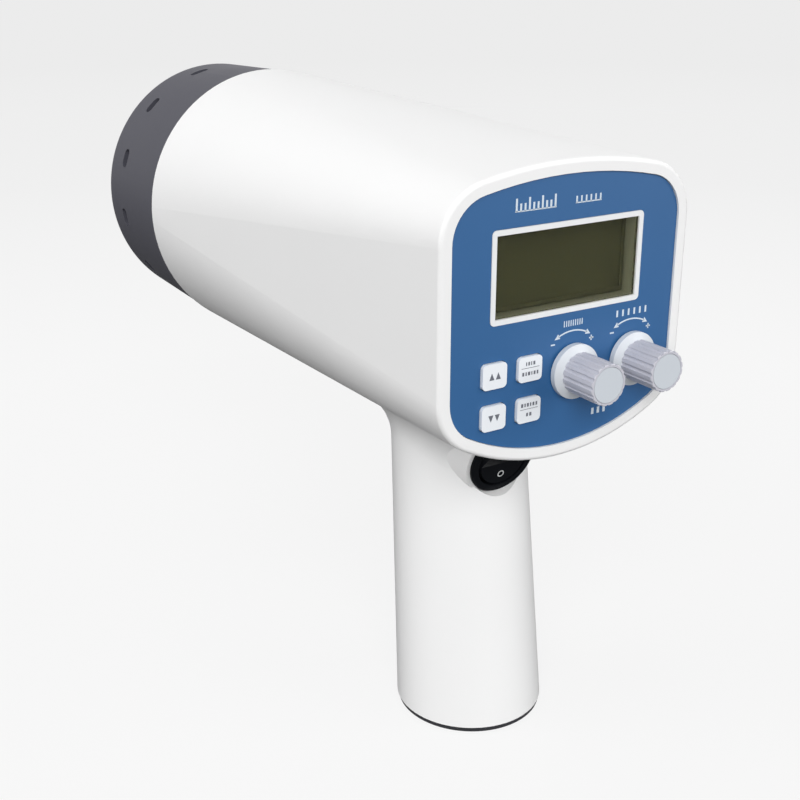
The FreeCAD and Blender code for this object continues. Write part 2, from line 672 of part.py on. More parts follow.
def make_housing():
    """One moulding: the barrel lofts from the arched rear end to a round shoulder, and the
    leaning grip blends into its underside. It is hollow, with a ledge for the panel, a
    spigot for the front ring, and bosses for every screw."""
    body = new_body("housing")
    rear = Drawing(body, "rear_end", "front", rim_back).rim_outline(ZERO)
    front = Drawing(body, "front_end", "front", d.body_front).matched_circle(d.shoulder_radius)
    loft(body, "barrel_form", rear, front)

    lean = tangent(d.grip_lean)
    grip_start = foot + d.cap_lip
    low = Drawing(body, "grip_foot", "floor", grip_start)
    low.circle(d.grip_foot_radius, ZERO, d.cap_lip * lean)
    high = Drawing(body, "grip_neck", "floor", foot + neck_height)
    high.circle(d.grip_neck_radius, ZERO, neck_height * lean)
    grip = loft(body, "grip_form", low.sketch, high.sketch)

    def where_grip_meets_barrel(edge):
        box = edge.BoundBox
        along_barrel = box.YMin > rim_back.value + 1 and box.YMax < d.body_front.value - 1
        under_barrel = foot.value / 2 < box.ZMin and box.ZMax < -d.rim_below.value / 2
        return along_barrel and under_barrel and box.XLength > d.grip_neck_radius.value

    blend = rounded(body, "neck_blend", grip, d.neck_fillet, where_grip_meets_barrel)

    def on_rear_end(edge):
        return edge.BoundBox.YMax < rim_back.value + 1e-3

    rounded(body, "rim_edge", blend, d.rim_rounding, on_rear_end)

    boss_radius = d.bezel_radius + d.fit_gap + d.rocker_boss_rim
    boss = switch_drawing(body, "rocker_boss_sketch").circle(boss_radius)
    boss_form = pad(body, "rocker_boss", boss, boss_radius, backwards=True)
    bind(boss_form, "TaperAngle", d.rocker_boss_taper)

    cavity_rear = Drawing(body, "cavity_rear", "front", ledge_front).rim_outline(d.wall)
    cavity_end = d.body_front - d.shoulder_wall
    cavity_front = Drawing(body, "cavity_front", "front", cavity_end)
    cavity_front.matched_circle(d.shoulder_radius - d.wall)
    loft(body, "cavity", cavity_rear, cavity_front.sketch, "SubtractiveLoft")

    notch = switch_drawing(body, "notch_sketch").circle(d.bezel_radius + d.fit_gap)
    pocket(body, "notch", notch, d.notch_length, backwards=True)

    low = Drawing(body, "grip_bore_foot", "floor", foot)
    low.circle(d.grip_foot_radius - d.wall, ZERO, ZERO)
    high = Drawing(body, "grip_bore_neck", "floor", foot + neck_height)
    high.circle(d.grip_neck_radius - d.neck_wall, ZERO, neck_height * lean)
    loft(body, "grip_bore", low.sketch, high.sketch, "SubtractiveLoft")

    recess = Drawing(body, "panel_recess_sketch", "front", plate_front)
    recess.rim_outline(d.rim_width - d.panel_gap)
    recess_depth = d.rim_proud + d.overlay_thick + d.plate_thick
    pocket(body, "panel_recess", recess.sketch, recess_depth + 1, backwards=True)
    opening = Drawing(body, "ledge_opening_sketch", "front", ledge_front + 1)
    opening.rim_outline(d.rim_width + d.ledge_width)
    pocket(body, "ledge_opening", opening.sketch, d.ledge_thick + 2, backwards=True)

    shoulder_hole = Drawing(body, "shoulder_hole_sketch", "front", d.body_front)
    shoulder_hole.circle(spigot_bore)
    pocket(body, "shoulder_hole", shoulder_hole.sketch, d.shoulder_wall + 1, backwards=True)
    bead_back = d.body_front + d.bead_start
    bead_front = bead_back + d.bead_width
    bead_top = spigot_radius + d.bead_height
    spigot = Drawing(body, "spigot_sketch", "side").polygon(
        (d.body_front - d.shoulder_wall, spigot_bore),
        (spigot_end, spigot_bore),
        (spigot_end, spigot_radius),
        (bead_front + d.bead_height, spigot_radius),
        (bead_front, bead_top),
        (bead_back, bead_top),
        (bead_back - d.bead_height, spigot_radius),
        (d.body_front - d.shoulder_wall, spigot_radius),
    )
    turned(body, "spigot", spigot)

    for number, angle in enumerate(carrier_screw_turns, 1):
        u, v = carrier_screw_circle * cosine(angle), carrier_screw_circle * sine(angle)
        drawn = Drawing(body, f"carrier_boss_sketch_{number}", "front", spigot_end)
        drawn.circle(d.carrier_boss, u, v)
        pad(body, f"carrier_boss_{number}", drawn.sketch, d.spigot_length + d.shoulder_wall)
        drawn = Drawing(body, f"carrier_hole_sketch_{number}", "front", spigot_end)
        drawn.circle(screw_hole, u, v)
        pocket(body, f"carrier_hole_{number}", drawn.sketch, d.screw_length, backwards=True)

    for number, (side, height) in enumerate(panel_screw_places, 1):
        drawn = Drawing(body, f"panel_boss_sketch_{number}", "front", plate_front)
        drawn.circle(d.panel_boss_radius, side, height)
        boss_length = d.ledge_thick + d.panel_boss_length
        pad(body, f"panel_boss_{number}", drawn.sketch, boss_length, backwards=True)
        drawn = Drawing(body, f"panel_hole_sketch_{number}", "front", plate_front)
        drawn.circle(screw_hole, side, height)
        pocket(body, f"panel_hole_{number}", drawn.sketch, d.screw_length)

    for number, place in enumerate(base_screw_places, 1):
        drawn = Drawing(body, f"base_boss_sketch_{number}", "floor", foot + d.cap_plug)
        drawn.circle(d.base_boss_radius, ZERO, place)
        pad(body, f"base_boss_{number}", drawn.sketch, d.base_boss_length)
        drawn = Drawing(body, f"base_hole_sketch_{number}", "floor", foot + d.cap_plug)
        drawn.circle(screw_hole, ZERO, place)
        pocket(body, f"base_hole_{number}", drawn.sketch, d.screw_length, backwards=True)

    power_under = -d.power_below - d.board_thick
    for number, (side, ahead) in enumerate(post_places, 1):
        drawn = Drawing(body, f"post_sketch_{number}", "floor", power_under)
        drawn.circle(d.post_radius, side, ahead)
        post = feature(body, "Pad", f"post_{number}", drawn.sketch, Reversed=True)
        post.Type = "UpToFirst"
        drawn = Drawing(body, f"post_hole_sketch_{number}", "floor", power_under)
        drawn.circle(screw_hole, side, ahead)
        pocket(body, f"post_hole_{number}", drawn.sketch, d.screw_length)

    hole = switch_drawing(body, "rocker_hole_sketch").circle(d.case_radius + d.slip_gap)
    pocket(body, "rocker_hole", hole, d.case_depth)
    return keep(body)


# ---------------------------------------------------------------- front end
def make_front_ring():
    """Soft dark ring: bored for the spigot with a groove for its bead, and lipped for the
    lens. A row of cooling slots goes round it."""
    body = new_body("front_ring")
    bore_back = spigot_radius + d.fit_gap
    groove = bore_back + d.bead_height
    groove_back = d.body_front + d.bead_start - d.bead_height - d.fit_gap
    groove_front = groove_back + d.bead_width + (d.bead_height + d.fit_gap) * 2
    step = carrier_front + d.fit_gap
    lip_back = ring_face - d.ring_lip
    profile = Drawing(body, "ring_profile", "side").polygon(
        (d.body_front, bore_back),
        (groove_back, bore_back),
        (groove_back, groove),
        (groove_front, groove),
        (groove_front, bore_back),
        (step, bore_back),
        (step, ring_bore),
        (lip_back, ring_bore),
        (lip_back, ring_mouth),
        (ring_face, ring_mouth),
        (ring_face, ring_front_radius),
        (d.body_front, ring_back_radius),
    )
    shell = turned(body, "ring_shell", profile)

    def front_edge(edge):
        box = edge.BoundBox
        at_face = box.YMin > ring_face.value - 1e-3
        return at_face and abs(box.ZMax - ring_front_radius.value) < 1e-3

    def corner_of_vent(edge):
        if len(edge.Vertexes) < 2:
            return False
        first, last = (vertex.Point for vertex in edge.Vertexes)
        outward = Vector(first.x, 0, first.z)
        along = last - first
        sideways = along.cross(outward).Length / outward.Length
        return along.Length > 1 and abs(along.y) < 0.5 and sideways < 0.2 * along.Length

    rounded(body, "ring_edge", shell, d.ring_rounding, front_edge)
    middle = ring_face - d.vent_setback
    slot = Drawing(body, "vent_sketch", "floor")
    slot.rectangle(-d.vent_width / 2, d.vent_width / 2,
                   middle - d.vent_length / 2, middle + d.vent_length / 2)
    vent = pocket(body, "vent", slot.sketch, ring_back_radius, backwards=True)
    vents = pattern(body, "vents", vent, (slot.sketch, ["V_Axis"]), d.vent_count)
    rounded(body, "vent_corners", vents, d.vent_corner, corner_of_vent)
    body.Placement = FreeCAD.Placement(
        Vector(), FreeCAD.Rotation(Vector(0, 1, 0), -d.vent_turn.value))
    bind(body, "Placement.Base.z", d.axis_height)
    return keep(body)


def make_lens():
    body = new_body("lens")
    profile = Drawing(body, "lens_profile", "side")
    profile.rectangle(lens_back, lens_front, ZERO, lens_radius)
    turned(body, "lens_disc", profile.sketch)
    keep(body)

    body = new_body("lens_gasket")
    outside = lens_radius
    profile = Drawing(body, "gasket_profile", "side")
    profile.rectangle(lens_front, lens_front + d.gasket_thick, outside - d.gasket_width, outside)
    turned(body, "gasket_ring", profile.sketch)
    keep(body)


def make_reflector():
    """A spun parabolic mirror: a flat flange behind the lens, and one on the carrier."""
    mirror_front = lens_back.value
    mirror_back = carrier_front.value
    rim, neck = mirror_rim.value, d.reflector_neck.value
    steepness = (mirror_front - mirror_back) / (rim ** 2 - neck ** 2)
    sheet = d.reflector_wall.value

    def mirror(radius):
        return mirror_back + steepness * (radius ** 2 - neck ** 2)

    steps = 6
    radii = [neck + (rim - neck) * step / steps for step in range(steps + 1)]
    inner = Part.BSplineCurve()
    inner.interpolate([Vector(0, mirror(radius), radius) for radius in radii])
    outer = Part.BSplineCurve()
    outer_points = []
    for radius in radii:
        slope = 2 * steepness * radius
        length = math.hypot(1, slope)
        outer_points.append(Vector(0, mirror(radius) - sheet / length, radius + sheet * slope / length))
    outer.interpolate(outer_points)
    flange = (lens_radius).value
    rim_inner, rim_outer = Vector(0, mirror_front, rim), outer_points[-1]
    neck_inner, neck_outer = Vector(0, mirror_back, neck), outer_points[0]
    corners = [
        rim_inner,
        Vector(0, mirror_front, flange),
        Vector(0, mirror_front - sheet, flange),
        Vector(0, mirror_front - sheet, rim_outer.z),
        rim_outer,
    ]
    edges = [inner.toShape()]
    edges += [Part.LineSegment(a, b).toShape() for a, b in zip(corners, corners[1:])
              if (a - b).Length > 1e-6]
    edges.append(outer.toShape())
    edges.append(Part.LineSegment(neck_outer, neck_inner).toShape())
    face = Part.Face(Part.Wire(Part.__sortEdges__(edges)))
    bowl = face.revolve(Vector(0, 0, 0), Vector(0, 1, 0), 360)
    flange_ring = Part.makeCylinder(d.neck_flange.value, sheet, Vector(0, mirror_back, 0), Vector(0, 1, 0))
    flange_hole = Part.makeCylinder(neck, 3 * sheet, Vector(0, mirror_back - sheet, 0), Vector(0, 1, 0))
    inside = Part.Face(Part.Wire(Part.__sortEdges__([
        inner.toShape(),
        Part.LineSegment(rim_inner, Vector(0, mirror_front, 0)).toShape(),
        Part.LineSegment(Vector(0, mirror_front, 0), Vector(0, mirror_back, 0)).toShape(),
        Part.LineSegment(Vector(0, mirror_back, 0), neck_inner).toShape(),
    ]))).revolve(Vector(0, 0, 0), Vector(0, 1, 0), 360)
    shell = bowl.fuse(flange_ring).cut(inside).cut(flange_hole)
    behind = Part.makeBox(200, 20, 200, Vector(-100, mirror_back - 20, -100))
    node = document.addObject("Part::Feature", "reflector")
    node.Label = "reflector"
    node.Shape = shell.cut(behind).removeSplitter()
    bind(node, "Placement.Base.z", d.axis_height)
    return keep(node)


def make_lamp():
    """Lamp carrier, ceramic base, U-shaped flash tube, its electrodes and trigger wire."""
    body = new_body("lamp_carrier")
    plate = Drawing(body, "carrier_profile", "side")
    plate.rectangle(spigot_end, carrier_front, d.lamp_base_radius + d.fit_gap,
                    lens_radius)
    turned(body, "carrier_plate", plate.sketch)
    for number, angle in enumerate(carrier_screw_turns, 1):
        u, v = carrier_screw_circle * cosine(angle), carrier_screw_circle * sine(angle)
        drawn = Drawing(body, f"carrier_clearance_sketch_{number}", "front", spigot_end)
        drawn.circle(screw_hole, u, v)
        pocket(body, f"carrier_clearance_{number}", drawn.sketch, d.carrier_thick)
    keep(body)

    screws = []
    for number, angle in enumerate(carrier_screw_turns, 1):
        x = carrier_screw_circle * cosine(angle)
        z = d.axis_height + carrier_screw_circle * sine(angle)
        screws.append(screw(f"carrier_screw_{number}", x, carrier_front, z, "back"))
    keep(group("carrier_screws", *screws))

    body = new_body("lamp_base")
    flange_back = spigot_end - d.lamp_flange_thick
    profile = Drawing(body, "lamp_base_profile", "side").polygon(
        (lamp_board_front, ZERO),
        (lamp_face, ZERO),
        (lamp_face, d.lamp_base_radius),
        (spigot_end, d.lamp_base_radius),
        (spigot_end, d.lamp_base_flange),
        (flange_back, d.lamp_base_flange),
        (flange_back, d.lamp_base_radius),
        (lamp_board_front, d.lamp_base_radius),
    )
    turned(body, "lamp_base_form", profile)
    for name, side in (("left", -d.tube_leg_spacing / 2), ("right", d.tube_leg_spacing / 2)):
        drawn = Drawing(body, f"leg_hole_sketch_{name}", "front", lamp_face)
        drawn.circle(d.tube_radius + d.slip_gap, side, ZERO)
        pocket(body, f"leg_hole_{name}", drawn.sketch, d.tube_socket_depth, backwards=True)
    keep(body)

    body = new_body("flash_tube")
    tube_back = lamp_face - d.tube_socket_depth
    bend = lamp_face + d.tube_leg_length
    half = d.tube_leg_spacing / 2
    spine = Drawing(body, "tube_path", "floor")
    left = spine.line((-half.value, tube_back.value), (-half.value, bend.value))
    arch = spine.arc((0, bend.value), half.value, 0, math.pi)
    right = spine.line((half.value, tube_back.value), (half.value, bend.value))
    spine.place(left, 1, -half, tube_back)
    spine.place(right, 1, half, tube_back)
    spine.place(arch, 3, ZERO, bend)
    spine.tie("Radius", half, arch)
    spine.hold("Tangent", right, 2, arch, 1)
    spine.hold("Tangent", left, 2, arch, 2)
    section = Drawing(body, "tube_section", "front", tube_back)
    section.circle(d.tube_radius, -half, ZERO)
    section.circle(d.tube_bore, -half, ZERO)
    pipe = feature(body, "AdditivePipe", "tube_glass", section.sketch)
    pipe.Spine = (spine.sketch, [f"Edge{n}" for n in (1, 2, 3)])
    keep(body)

    electrodes, turns = [], []
    for name, side in (("left", -half), ("right", half)):
        electrodes.append(rod(f"electrode_{name}", d.electrode_radius, d.electrode_length,
                              side, tube_back, d.axis_height, "front"))
        for number in range(3):
            ring = document.addObject("Part::Torus", f"trigger_turn_{name}_{number}")
            bind(ring, "Radius1", d.tube_radius + d.trigger_wire_radius + d.slip_gap)
            bind(ring, "Radius2", d.trigger_wire_radius)
            ahead = lamp_face + d.trigger_turn_pitch * (number + 1)
            turns.append(put(ring, side, ahead, d.axis_height, "front"))
    keep(group("tube_electrodes", *electrodes))
    keep(group("trigger_wire", *turns))

    body = new_body("lamp_board")
    drawn = Drawing(body, "lamp_board_sketch", "front", lamp_board_front - d.board_thick)
    drawn.circle(spigot_bore - d.lamp_board_inset)
    pad(body, "lamp_board_disc", drawn.sketch, d.board_thick, backwards=True)
    keep(body)

    coil = rod("trigger_coil", d.trigger_coil_radius, d.trigger_coil_length, d.trigger_coil_side,
               lamp_board_front - d.board_thick, d.axis_height, "back")
    keep(coil)


# ---------------------------------------------------------------- control panel
def panel_openings(body, start, depth):
    """The cut-outs that plate and overlay share, right through from start."""
    wide = d.display_width / 2 + d.slip_gap
    tall = d.display_height / 2 + d.slip_gap
    drawn = Drawing(body, "display_cutout_sketch", "front", start)
    drawn.rectangle(-wide, wide, d.display_above - tall, d.display_above + tall)
    pocket(body, "display_cutout", drawn.sketch, depth)
    half_width = d.key_width / 2 + d.key_gap
    half_height = d.key_height / 2 + d.key_gap
    for name, (side, height) in key_places.items():
        drawn = Drawing(body, f"{name}_cutout_sketch", "front", start)
        drawn.rectangle(side - half_width, side + half_width,
                        height - half_height, height + half_height)
        pocket(body, f"{name}_cutout", drawn.sketch, depth)
    for name, side in knob_places.items():
        drawn = Drawing(body, f"{name}_cutout_sketch", "front", start)
        drawn.circle(d.bush_radius + d.slip_gap, side, -d.knob_below)
        pocket(body, f"{name}_cutout", drawn.sketch, depth)


def round_openings(body, name):
    """Rounds the corners of the cut-outs for the keys, and then of the one for the display."""
    keys = [(s.value, h.value) for s, h in key_places.values()]
    display = [(0, d.display_above.value)]

    def corners_near(places, wide, tall):
        def wanted(edge):
            middle = edge.BoundBox.Center
            near = any(abs(middle.x - s) < wide.value and abs(middle.z - h) < tall.value
                       for s, h in places)
            return near and runs_along(edge, "y")
        return wanted

    of_keys = rounded(body, f"{name}_key_corners", body.Tip, d.key_corner + d.key_gap,
                      corners_near(keys, d.key_width, d.key_height))
    rounded(body, f"{name}_display_corners", of_keys, d.display_corner + d.slip_gap,
            corners_near(display, d.display_width, d.display_height))


def make_panel():
    body = new_body("panel_plate")
    drawn = Drawing(body, "plate_sketch", "front", plate_front)
    drawn.rim_outline(d.rim_width)
    pad(body, "plate", drawn.sketch, d.plate_thick)
    panel_openings(body, plate_back, d.plate_thick)
    round_openings(body, "plate")
    for number, (side, height) in enumerate(panel_screw_places, 1):
        hole = Drawing(body, f"screw_hole_sketch_{number}", "front", plate_back)
        hole.circle(screw_hole, side, height)
        pocket(body, f"screw_hole_{number}", hole.sketch, d.plate_thick)
        hole = Drawing(body, f"head_recess_sketch_{number}", "front", plate_back)
        hole.circle(d.screw_head + d.hole_gap, side, height)
        pocket(body, f"head_recess_{number}", hole.sketch, d.screw_head_thick)
    keep(body)

    body = new_body("panel_overlay")
    drawn = Drawing(body, "overlay_sketch", "front", plate_back)
    drawn.rim_outline(d.rim_width)
    pad(body, "overlay", drawn.sketch, d.overlay_thick)
    panel_openings(body, panel_face, d.overlay_thick)
    round_openings(body, "overlay")
    keep(body)

    under_head = plate_back + d.screw_head_thick
    screws = []
    for number, (side, height) in enumerate(panel_screw_places, 1):
        place = (side, under_head, d.axis_height + height)
        screws.append(screw(f"panel_screw_{number}", *place, "front"))
    keep(group("panel_screws", *screws))


def make_display():
    """White frame that reaches in through the panel, a tinted window in its front, and the
    module behind it."""
    half_width, half_height = d.display_width / 2, d.display_height / 2
    frame_back = plate_front + d.display_tunnel
    body = new_body("display_frame")
    drawn = Drawing(body, "frame_sketch", "front", frame_back)
    drawn.rectangle(-half_width, half_width,
                    d.display_above - half_height, d.display_above + half_height)
    depth = frame_back - panel_face + d.display_proud
    form = pad(body, "frame", drawn.sketch, depth)
    rounded(body, "frame_corners", form, d.display_corner, lambda edge: runs_along(edge, "y"))
    window_half_width = half_width - d.display_line
    window_half_height = half_height - d.display_line
    drawn = Drawing(body, "window_sketch", "front", frame_back)
    drawn.rectangle(-window_half_width, window_half_width,
                    d.display_above - window_half_height, d.display_above + window_half_height)
    pocket(body, "window", drawn.sketch, depth, backwards=True)
    keep(body)

    keep(block("display_glass", (window_half_width - d.slip_gap) * 2, d.glass_thick,
               (window_half_height - d.slip_gap) * 2, d.slip_gap - window_half_width,
               panel_face + d.display_recess,
               d.axis_height + d.display_above - window_half_height + d.slip_gap))
    keep(block("display_module", d.module_width, d.module_depth, d.module_height,
               -d.module_width / 2, frame_back,
               d.axis_height + d.display_above - d.module_height / 2))
    strip_width, strip_height = d.module_width * 0.6, d.switch_button_radius
    strip_start = frame_back + d.module_depth
    strips = [
        block(f"display_pins_{name}", strip_width, board_back - strip_start, strip_height,
              -strip_width / 2, strip_start, d.axis_height + height)
        for name, height in (
            ("upper", d.display_above + d.module_height / 2 - strip_height),
            ("lower", d.display_above - d.module_height / 2),
        )
    ]
    keep(group("display_pins", *strips))


def make_keys():
    """Four key caps with a flange behind the plate and a stem to its tactile switch."""
    flange_back = plate_front + d.key_rest_gap
    stem_start = flange_back + d.key_flange_thick
    button_tip = board_back - d.switch_depth - d.switch_button
    stem_end = button_tip - d.key_travel - d.key_end_gap
    switches = []
    for name, (side, height) in key_places.items():
        body = new_body(name)
        cap = Drawing(body, f"{name}_cap_sketch", "front", flange_back)
        half_width, half_height = d.key_width / 2, d.key_height / 2
        cap.rectangle(side - half_width, side + half_width,
                      height - half_height, height + half_height)
        cap_length = flange_back - panel_face + d.key_proud
        cap_form = pad(body, f"{name}_cap", cap.sketch, cap_length)
        rounded(body, f"{name}_corners", cap_form, d.key_corner,
                lambda edge: runs_along(edge, "y"))
        flange = Drawing(body, f"{name}_flange_sketch", "front", flange_back)
        flange_side = half_width + d.key_flange
        flange.rectangle(side - flange_side, side + flange_side,
                         height - half_height, height + half_height)
        pad(body, f"{name}_flange", flange.sketch, d.key_flange_thick, backwards=True)
        stem = Drawing(body, f"{name}_stem_sketch", "front", stem_start)
        stem.circle(d.key_stem_radius, side, height)
        pad(body, f"{name}_stem", stem.sketch, stem_end - stem_start, backwards=True)
        keep(body)

        up = d.axis_height + height
        case = block(f"{name}_switch_case", d.switch_side, d.switch_depth, d.switch_side,
                     side - d.switch_side / 2, board_back - d.switch_depth,
                     up - d.switch_side / 2)
        button = rod(f"{name}_switch_button", d.switch_button_radius, d.switch_button,
                     side, button_tip, up, "front")
        switches.append(joined(f"{name}_switch", case, button))
    keep(group("key_switches", *switches))


def make_control_board():
    body = new_body("control_board")
    drawn = Drawing(body, "control_sketch", "front", board_front)
    wide, low, high = d.control_half_width, -d.control_below, d.control_above
    inner = wide - d.control_corner
    drawn.polygon(
        (-inner, low), (inner, low), (wide, low + d.control_corner),
        (wide, high - d.control_corner), (inner, high), (-inner, high),
        (-wide, high - d.control_corner), (-wide, low + d.control_corner),
    )
    pad(body, "control_sheet", drawn.sketch, d.board_thick)
    for number, (side, height) in enumerate(pillar_places, 1):
        hole = Drawing(body, f"pillar_hole_sketch_{number}", "front", board_front)
        hole.circle(screw_hole, side, height)
        pocket(body, f"pillar_hole_{number}", hole.sketch, d.board_thick, backwards=True)
    keep(body)

    pillars, screws = [], []
    for number, (side, height) in enumerate(pillar_places, 1):
        up = d.axis_height + height
        outside = rod(f"pillar_{number}_outside", d.pillar_radius, board_back - plate_front,
                      side, plate_front, up, "front")
        inside = rod(f"pillar_{number}_bore", screw_hole, board_back - plate_front,
                     side, plate_front, up, "front")
        pillars.append(cut(f"pillar_{number}", outside, inside))
        screws.append(screw(f"control_screw_{number}", side, board_front, up, "back"))
    keep(group("board_pillars", *pillars))
    keep(group("control_screws", *screws))


# ---------------------------------------------------------------- knobs
def make_knob(name, side):
    """A knob with skirt, fluted grip and end disc, on the shaft of its potentiometer."""
    body = new_body(f"{name}_pot", at_axis=False)
    put(body, side, ZERO, knob_height)
    bush_end = plate_front - d.bush_length
    bore_end = plate_front + d.shaft_seat
    bore = d.shaft_radius + d.shaft_gap
    profile = Drawing(body, "pot_profile", "side").polygon(
        (bush_end, bore),
        (bore_end + d.shaft_gap, bore),
        (bore_end + d.shaft_gap, ZERO),
        (plate_front + d.pot_depth, ZERO),
        (plate_front + d.pot_depth, d.pot_radius),
        (plate_front, d.pot_radius),
        (plate_front, d.bush_radius),
        (bush_end, d.bush_radius),
    )
    turned(body, "pot_form", profile)
    keep(body)

    shaft = rod(f"{name}_shaft", d.shaft_radius, d.shaft_length + d.shaft_seat,
                side, bore_end, knob_height, "back")
    keep(shaft)

    knob_end = panel_face - d.knob_length
    skirt_start = panel_face - d.knob_gap
    skirt_end = skirt_start - d.skirt_thick
    grip_start = skirt_end - d.skirt_rise
    shaft_end = plate_front - d.shaft_length
    socket = d.shaft_radius + d.shaft_gap
    nut_end = skirt_start - d.nut_space_depth
    bush_room_end = skirt_start - d.bush_space_depth
    recess = knob_end + d.knob_cap_thick
    cap_hole = d.knob_cap_radius + d.knob_cap_gap
    body = new_body(f"{name}_skirt", at_axis=False)
    put(body, side, ZERO, knob_height)
    profile = Drawing(body, "skirt_profile", "side").polygon(
        (skirt_start, d.nut_space),
        (nut_end, d.nut_space),
        (nut_end, d.bush_space),
        (grip_start, d.bush_space),
        (grip_start, d.knob_radius),
        (skirt_end, d.skirt_radius),
        (skirt_start, d.skirt_radius),
    )
    turned(body, "skirt_form", profile)
    keep(body)

    body = new_body(f"{name}_knob", at_axis=False)
    put(body, side, ZERO, knob_height)
    profile = Drawing(body, "knob_profile", "side").polygon(
        (grip_start, d.bush_space),
        (bush_room_end, d.bush_space),
        (bush_room_end, socket),
        (shaft_end - d.shaft_gap, socket),
        (shaft_end - d.shaft_gap, ZERO),
        (recess, ZERO),
        (recess, cap_hole),
        (knob_end, cap_hole),
        (knob_end, d.knob_radius),
        (grip_start, d.knob_radius),
    )
    form = turned(body, "knob_form", profile)

    def end_edge(edge):
        box = edge.BoundBox
        return box.YMax < knob_end.value + 1e-3 and box.ZMax > d.knob_radius.value - 1e-3

    rounded(body, "knob_end_edge", form, d.knob_rounding, end_edge)
    flute_sketch = Drawing(body, "flute_sketch", "front", grip_start)
    flute_sketch.circle(d.flute_radius, ZERO, d.knob_radius + d.flute_radius - d.flute_depth)
    flute = pocket(body, "flute", flute_sketch.sketch, d.knob_length, backwards=True)
    pattern(body, "flutes", flute, (flute_sketch.sketch, ["N_Axis"]), d.flute_count)
    keep(body)

    cap = rod(f"{name}_knob_cap", d.knob_cap_radius, d.knob_cap_thick,
              side, recess, knob_height, "back")
    keep(cap)


def make_knobs():
    for name, side in knob_places.items():
        make_knob(name, side)
    nuts = []
    for name, side in knob_places.items():
        prism = document.addObject("Part::Prism", f"{name}_nut_form")
        prism.Polygon = 6
        bind(prism, "Circumradius", d.nut_radius)
        bind(prism, "Height", d.nut_thick)
        put(prism, side, panel_face, knob_height, "back")
        hole = rod(f"{name}_nut_hole", d.bush_radius + d.slip_gap, d.nut_thick,
                   side, panel_face, knob_height, "back")
        nuts.append(cut(f"{name}_nut", prism, hole))
    keep(group("pot_nuts", *nuts))


# ---------------------------------------------------------------- power switch
def seat_on_boss(body):
    """Places a body drawn about the middle of the switch boss, square to its seat."""
    body.Placement = FreeCAD.Placement(Vector(), rocker_turn)
    for axis, length in zip("xyz", rocker_place):
        bind(body, f"Placement.Base.{axis}", length)


def make_power_switch():
    body = new_body("power_switch", at_axis=False)
    seat_on_boss(body)
    profile = Drawing(body, "switch_profile", "side").polygon(
        (-d.bezel_thick, d.window_radius),
        (d.window_depth - d.bezel_thick, d.window_radius),
        (d.window_depth - d.bezel_thick, ZERO),
        (d.case_depth, ZERO),
        (d.case_depth, d.case_radius),
        (ZERO, d.case_radius),
        (ZERO, d.bezel_radius),
        (d.bezel_bevel - d.bezel_thick, d.bezel_radius),
        (-d.bezel_thick, d.bezel_radius - d.bezel_bevel),
    )
    turned(body, "switch_form", profile)
    hole = Drawing(body, "trunnion_hole_sketch", "side", -d.trunnion_reach - d.pivot_gap)
    hole.circle(d.trunnion_radius + d.pivot_gap, d.rocker_pivot, ZERO)
    pocket(body, "trunnion_hole", hole.sketch, (d.trunnion_reach + d.pivot_gap) * 2,
           backwards=True)
    keep(body)


def make_rocker():
    """A ball-sided rocker with a shallow valley across its face, turned to its off position,
    with its lower half pressed in."""
    pivot = d.rocker_pivot
    half = d.rocker_swing / 2
    edge_out = d.rocker_face + d.rocker_radius * tangent(half)
    valley = new_body("rocker_form", at_axis=False)
    drawn = Drawing(valley, "rocker_section", "side", -d.rocker_radius).polygon(
        (d.rocker_back, -d.rocker_radius),
        (d.rocker_back, d.rocker_radius),
        (-edge_out, d.rocker_radius),
        (-d.rocker_face, ZERO),
        (-edge_out, -d.rocker_radius),
    )
    pad(valley, "rocker_block", drawn, d.rocker_radius * 2)
    ball = document.addObject("Part::Sphere", "rocker_ball")
    bind(ball, "Radius", d.rocker_radius)
    face = document.addObject("Part::Common", "rocker_face")
    face.Base = valley
    face.Tool = ball
    pins = document.addObject("Part::Cylinder", "rocker_pins")
    bind(pins, "Radius", d.trunnion_radius)
    bind(pins, "Height", d.trunnion_reach * 2)
    pins.Placement = FreeCAD.Placement(Vector(), FreeCAD.Rotation(Vector(0, 1, 0), 90))
    bind(pins, "Placement.Base.x", -d.trunnion_reach)
    rocker = joined("rocker", face, pins)
    turn = FreeCAD.Rotation(Vector(1, 0, 0), half.value + d.rocker_tilt.value)
    rocker.Placement = FreeCAD.Placement(Vector(), turn)
    bind(rocker, "Placement.Base.y", pivot * cosine(d.rocker_tilt) - d.rocker_boss_back)
    bind(rocker, "Placement.Base.z", d.rocker_height + pivot * sine(d.rocker_tilt))
    return keep(rocker)


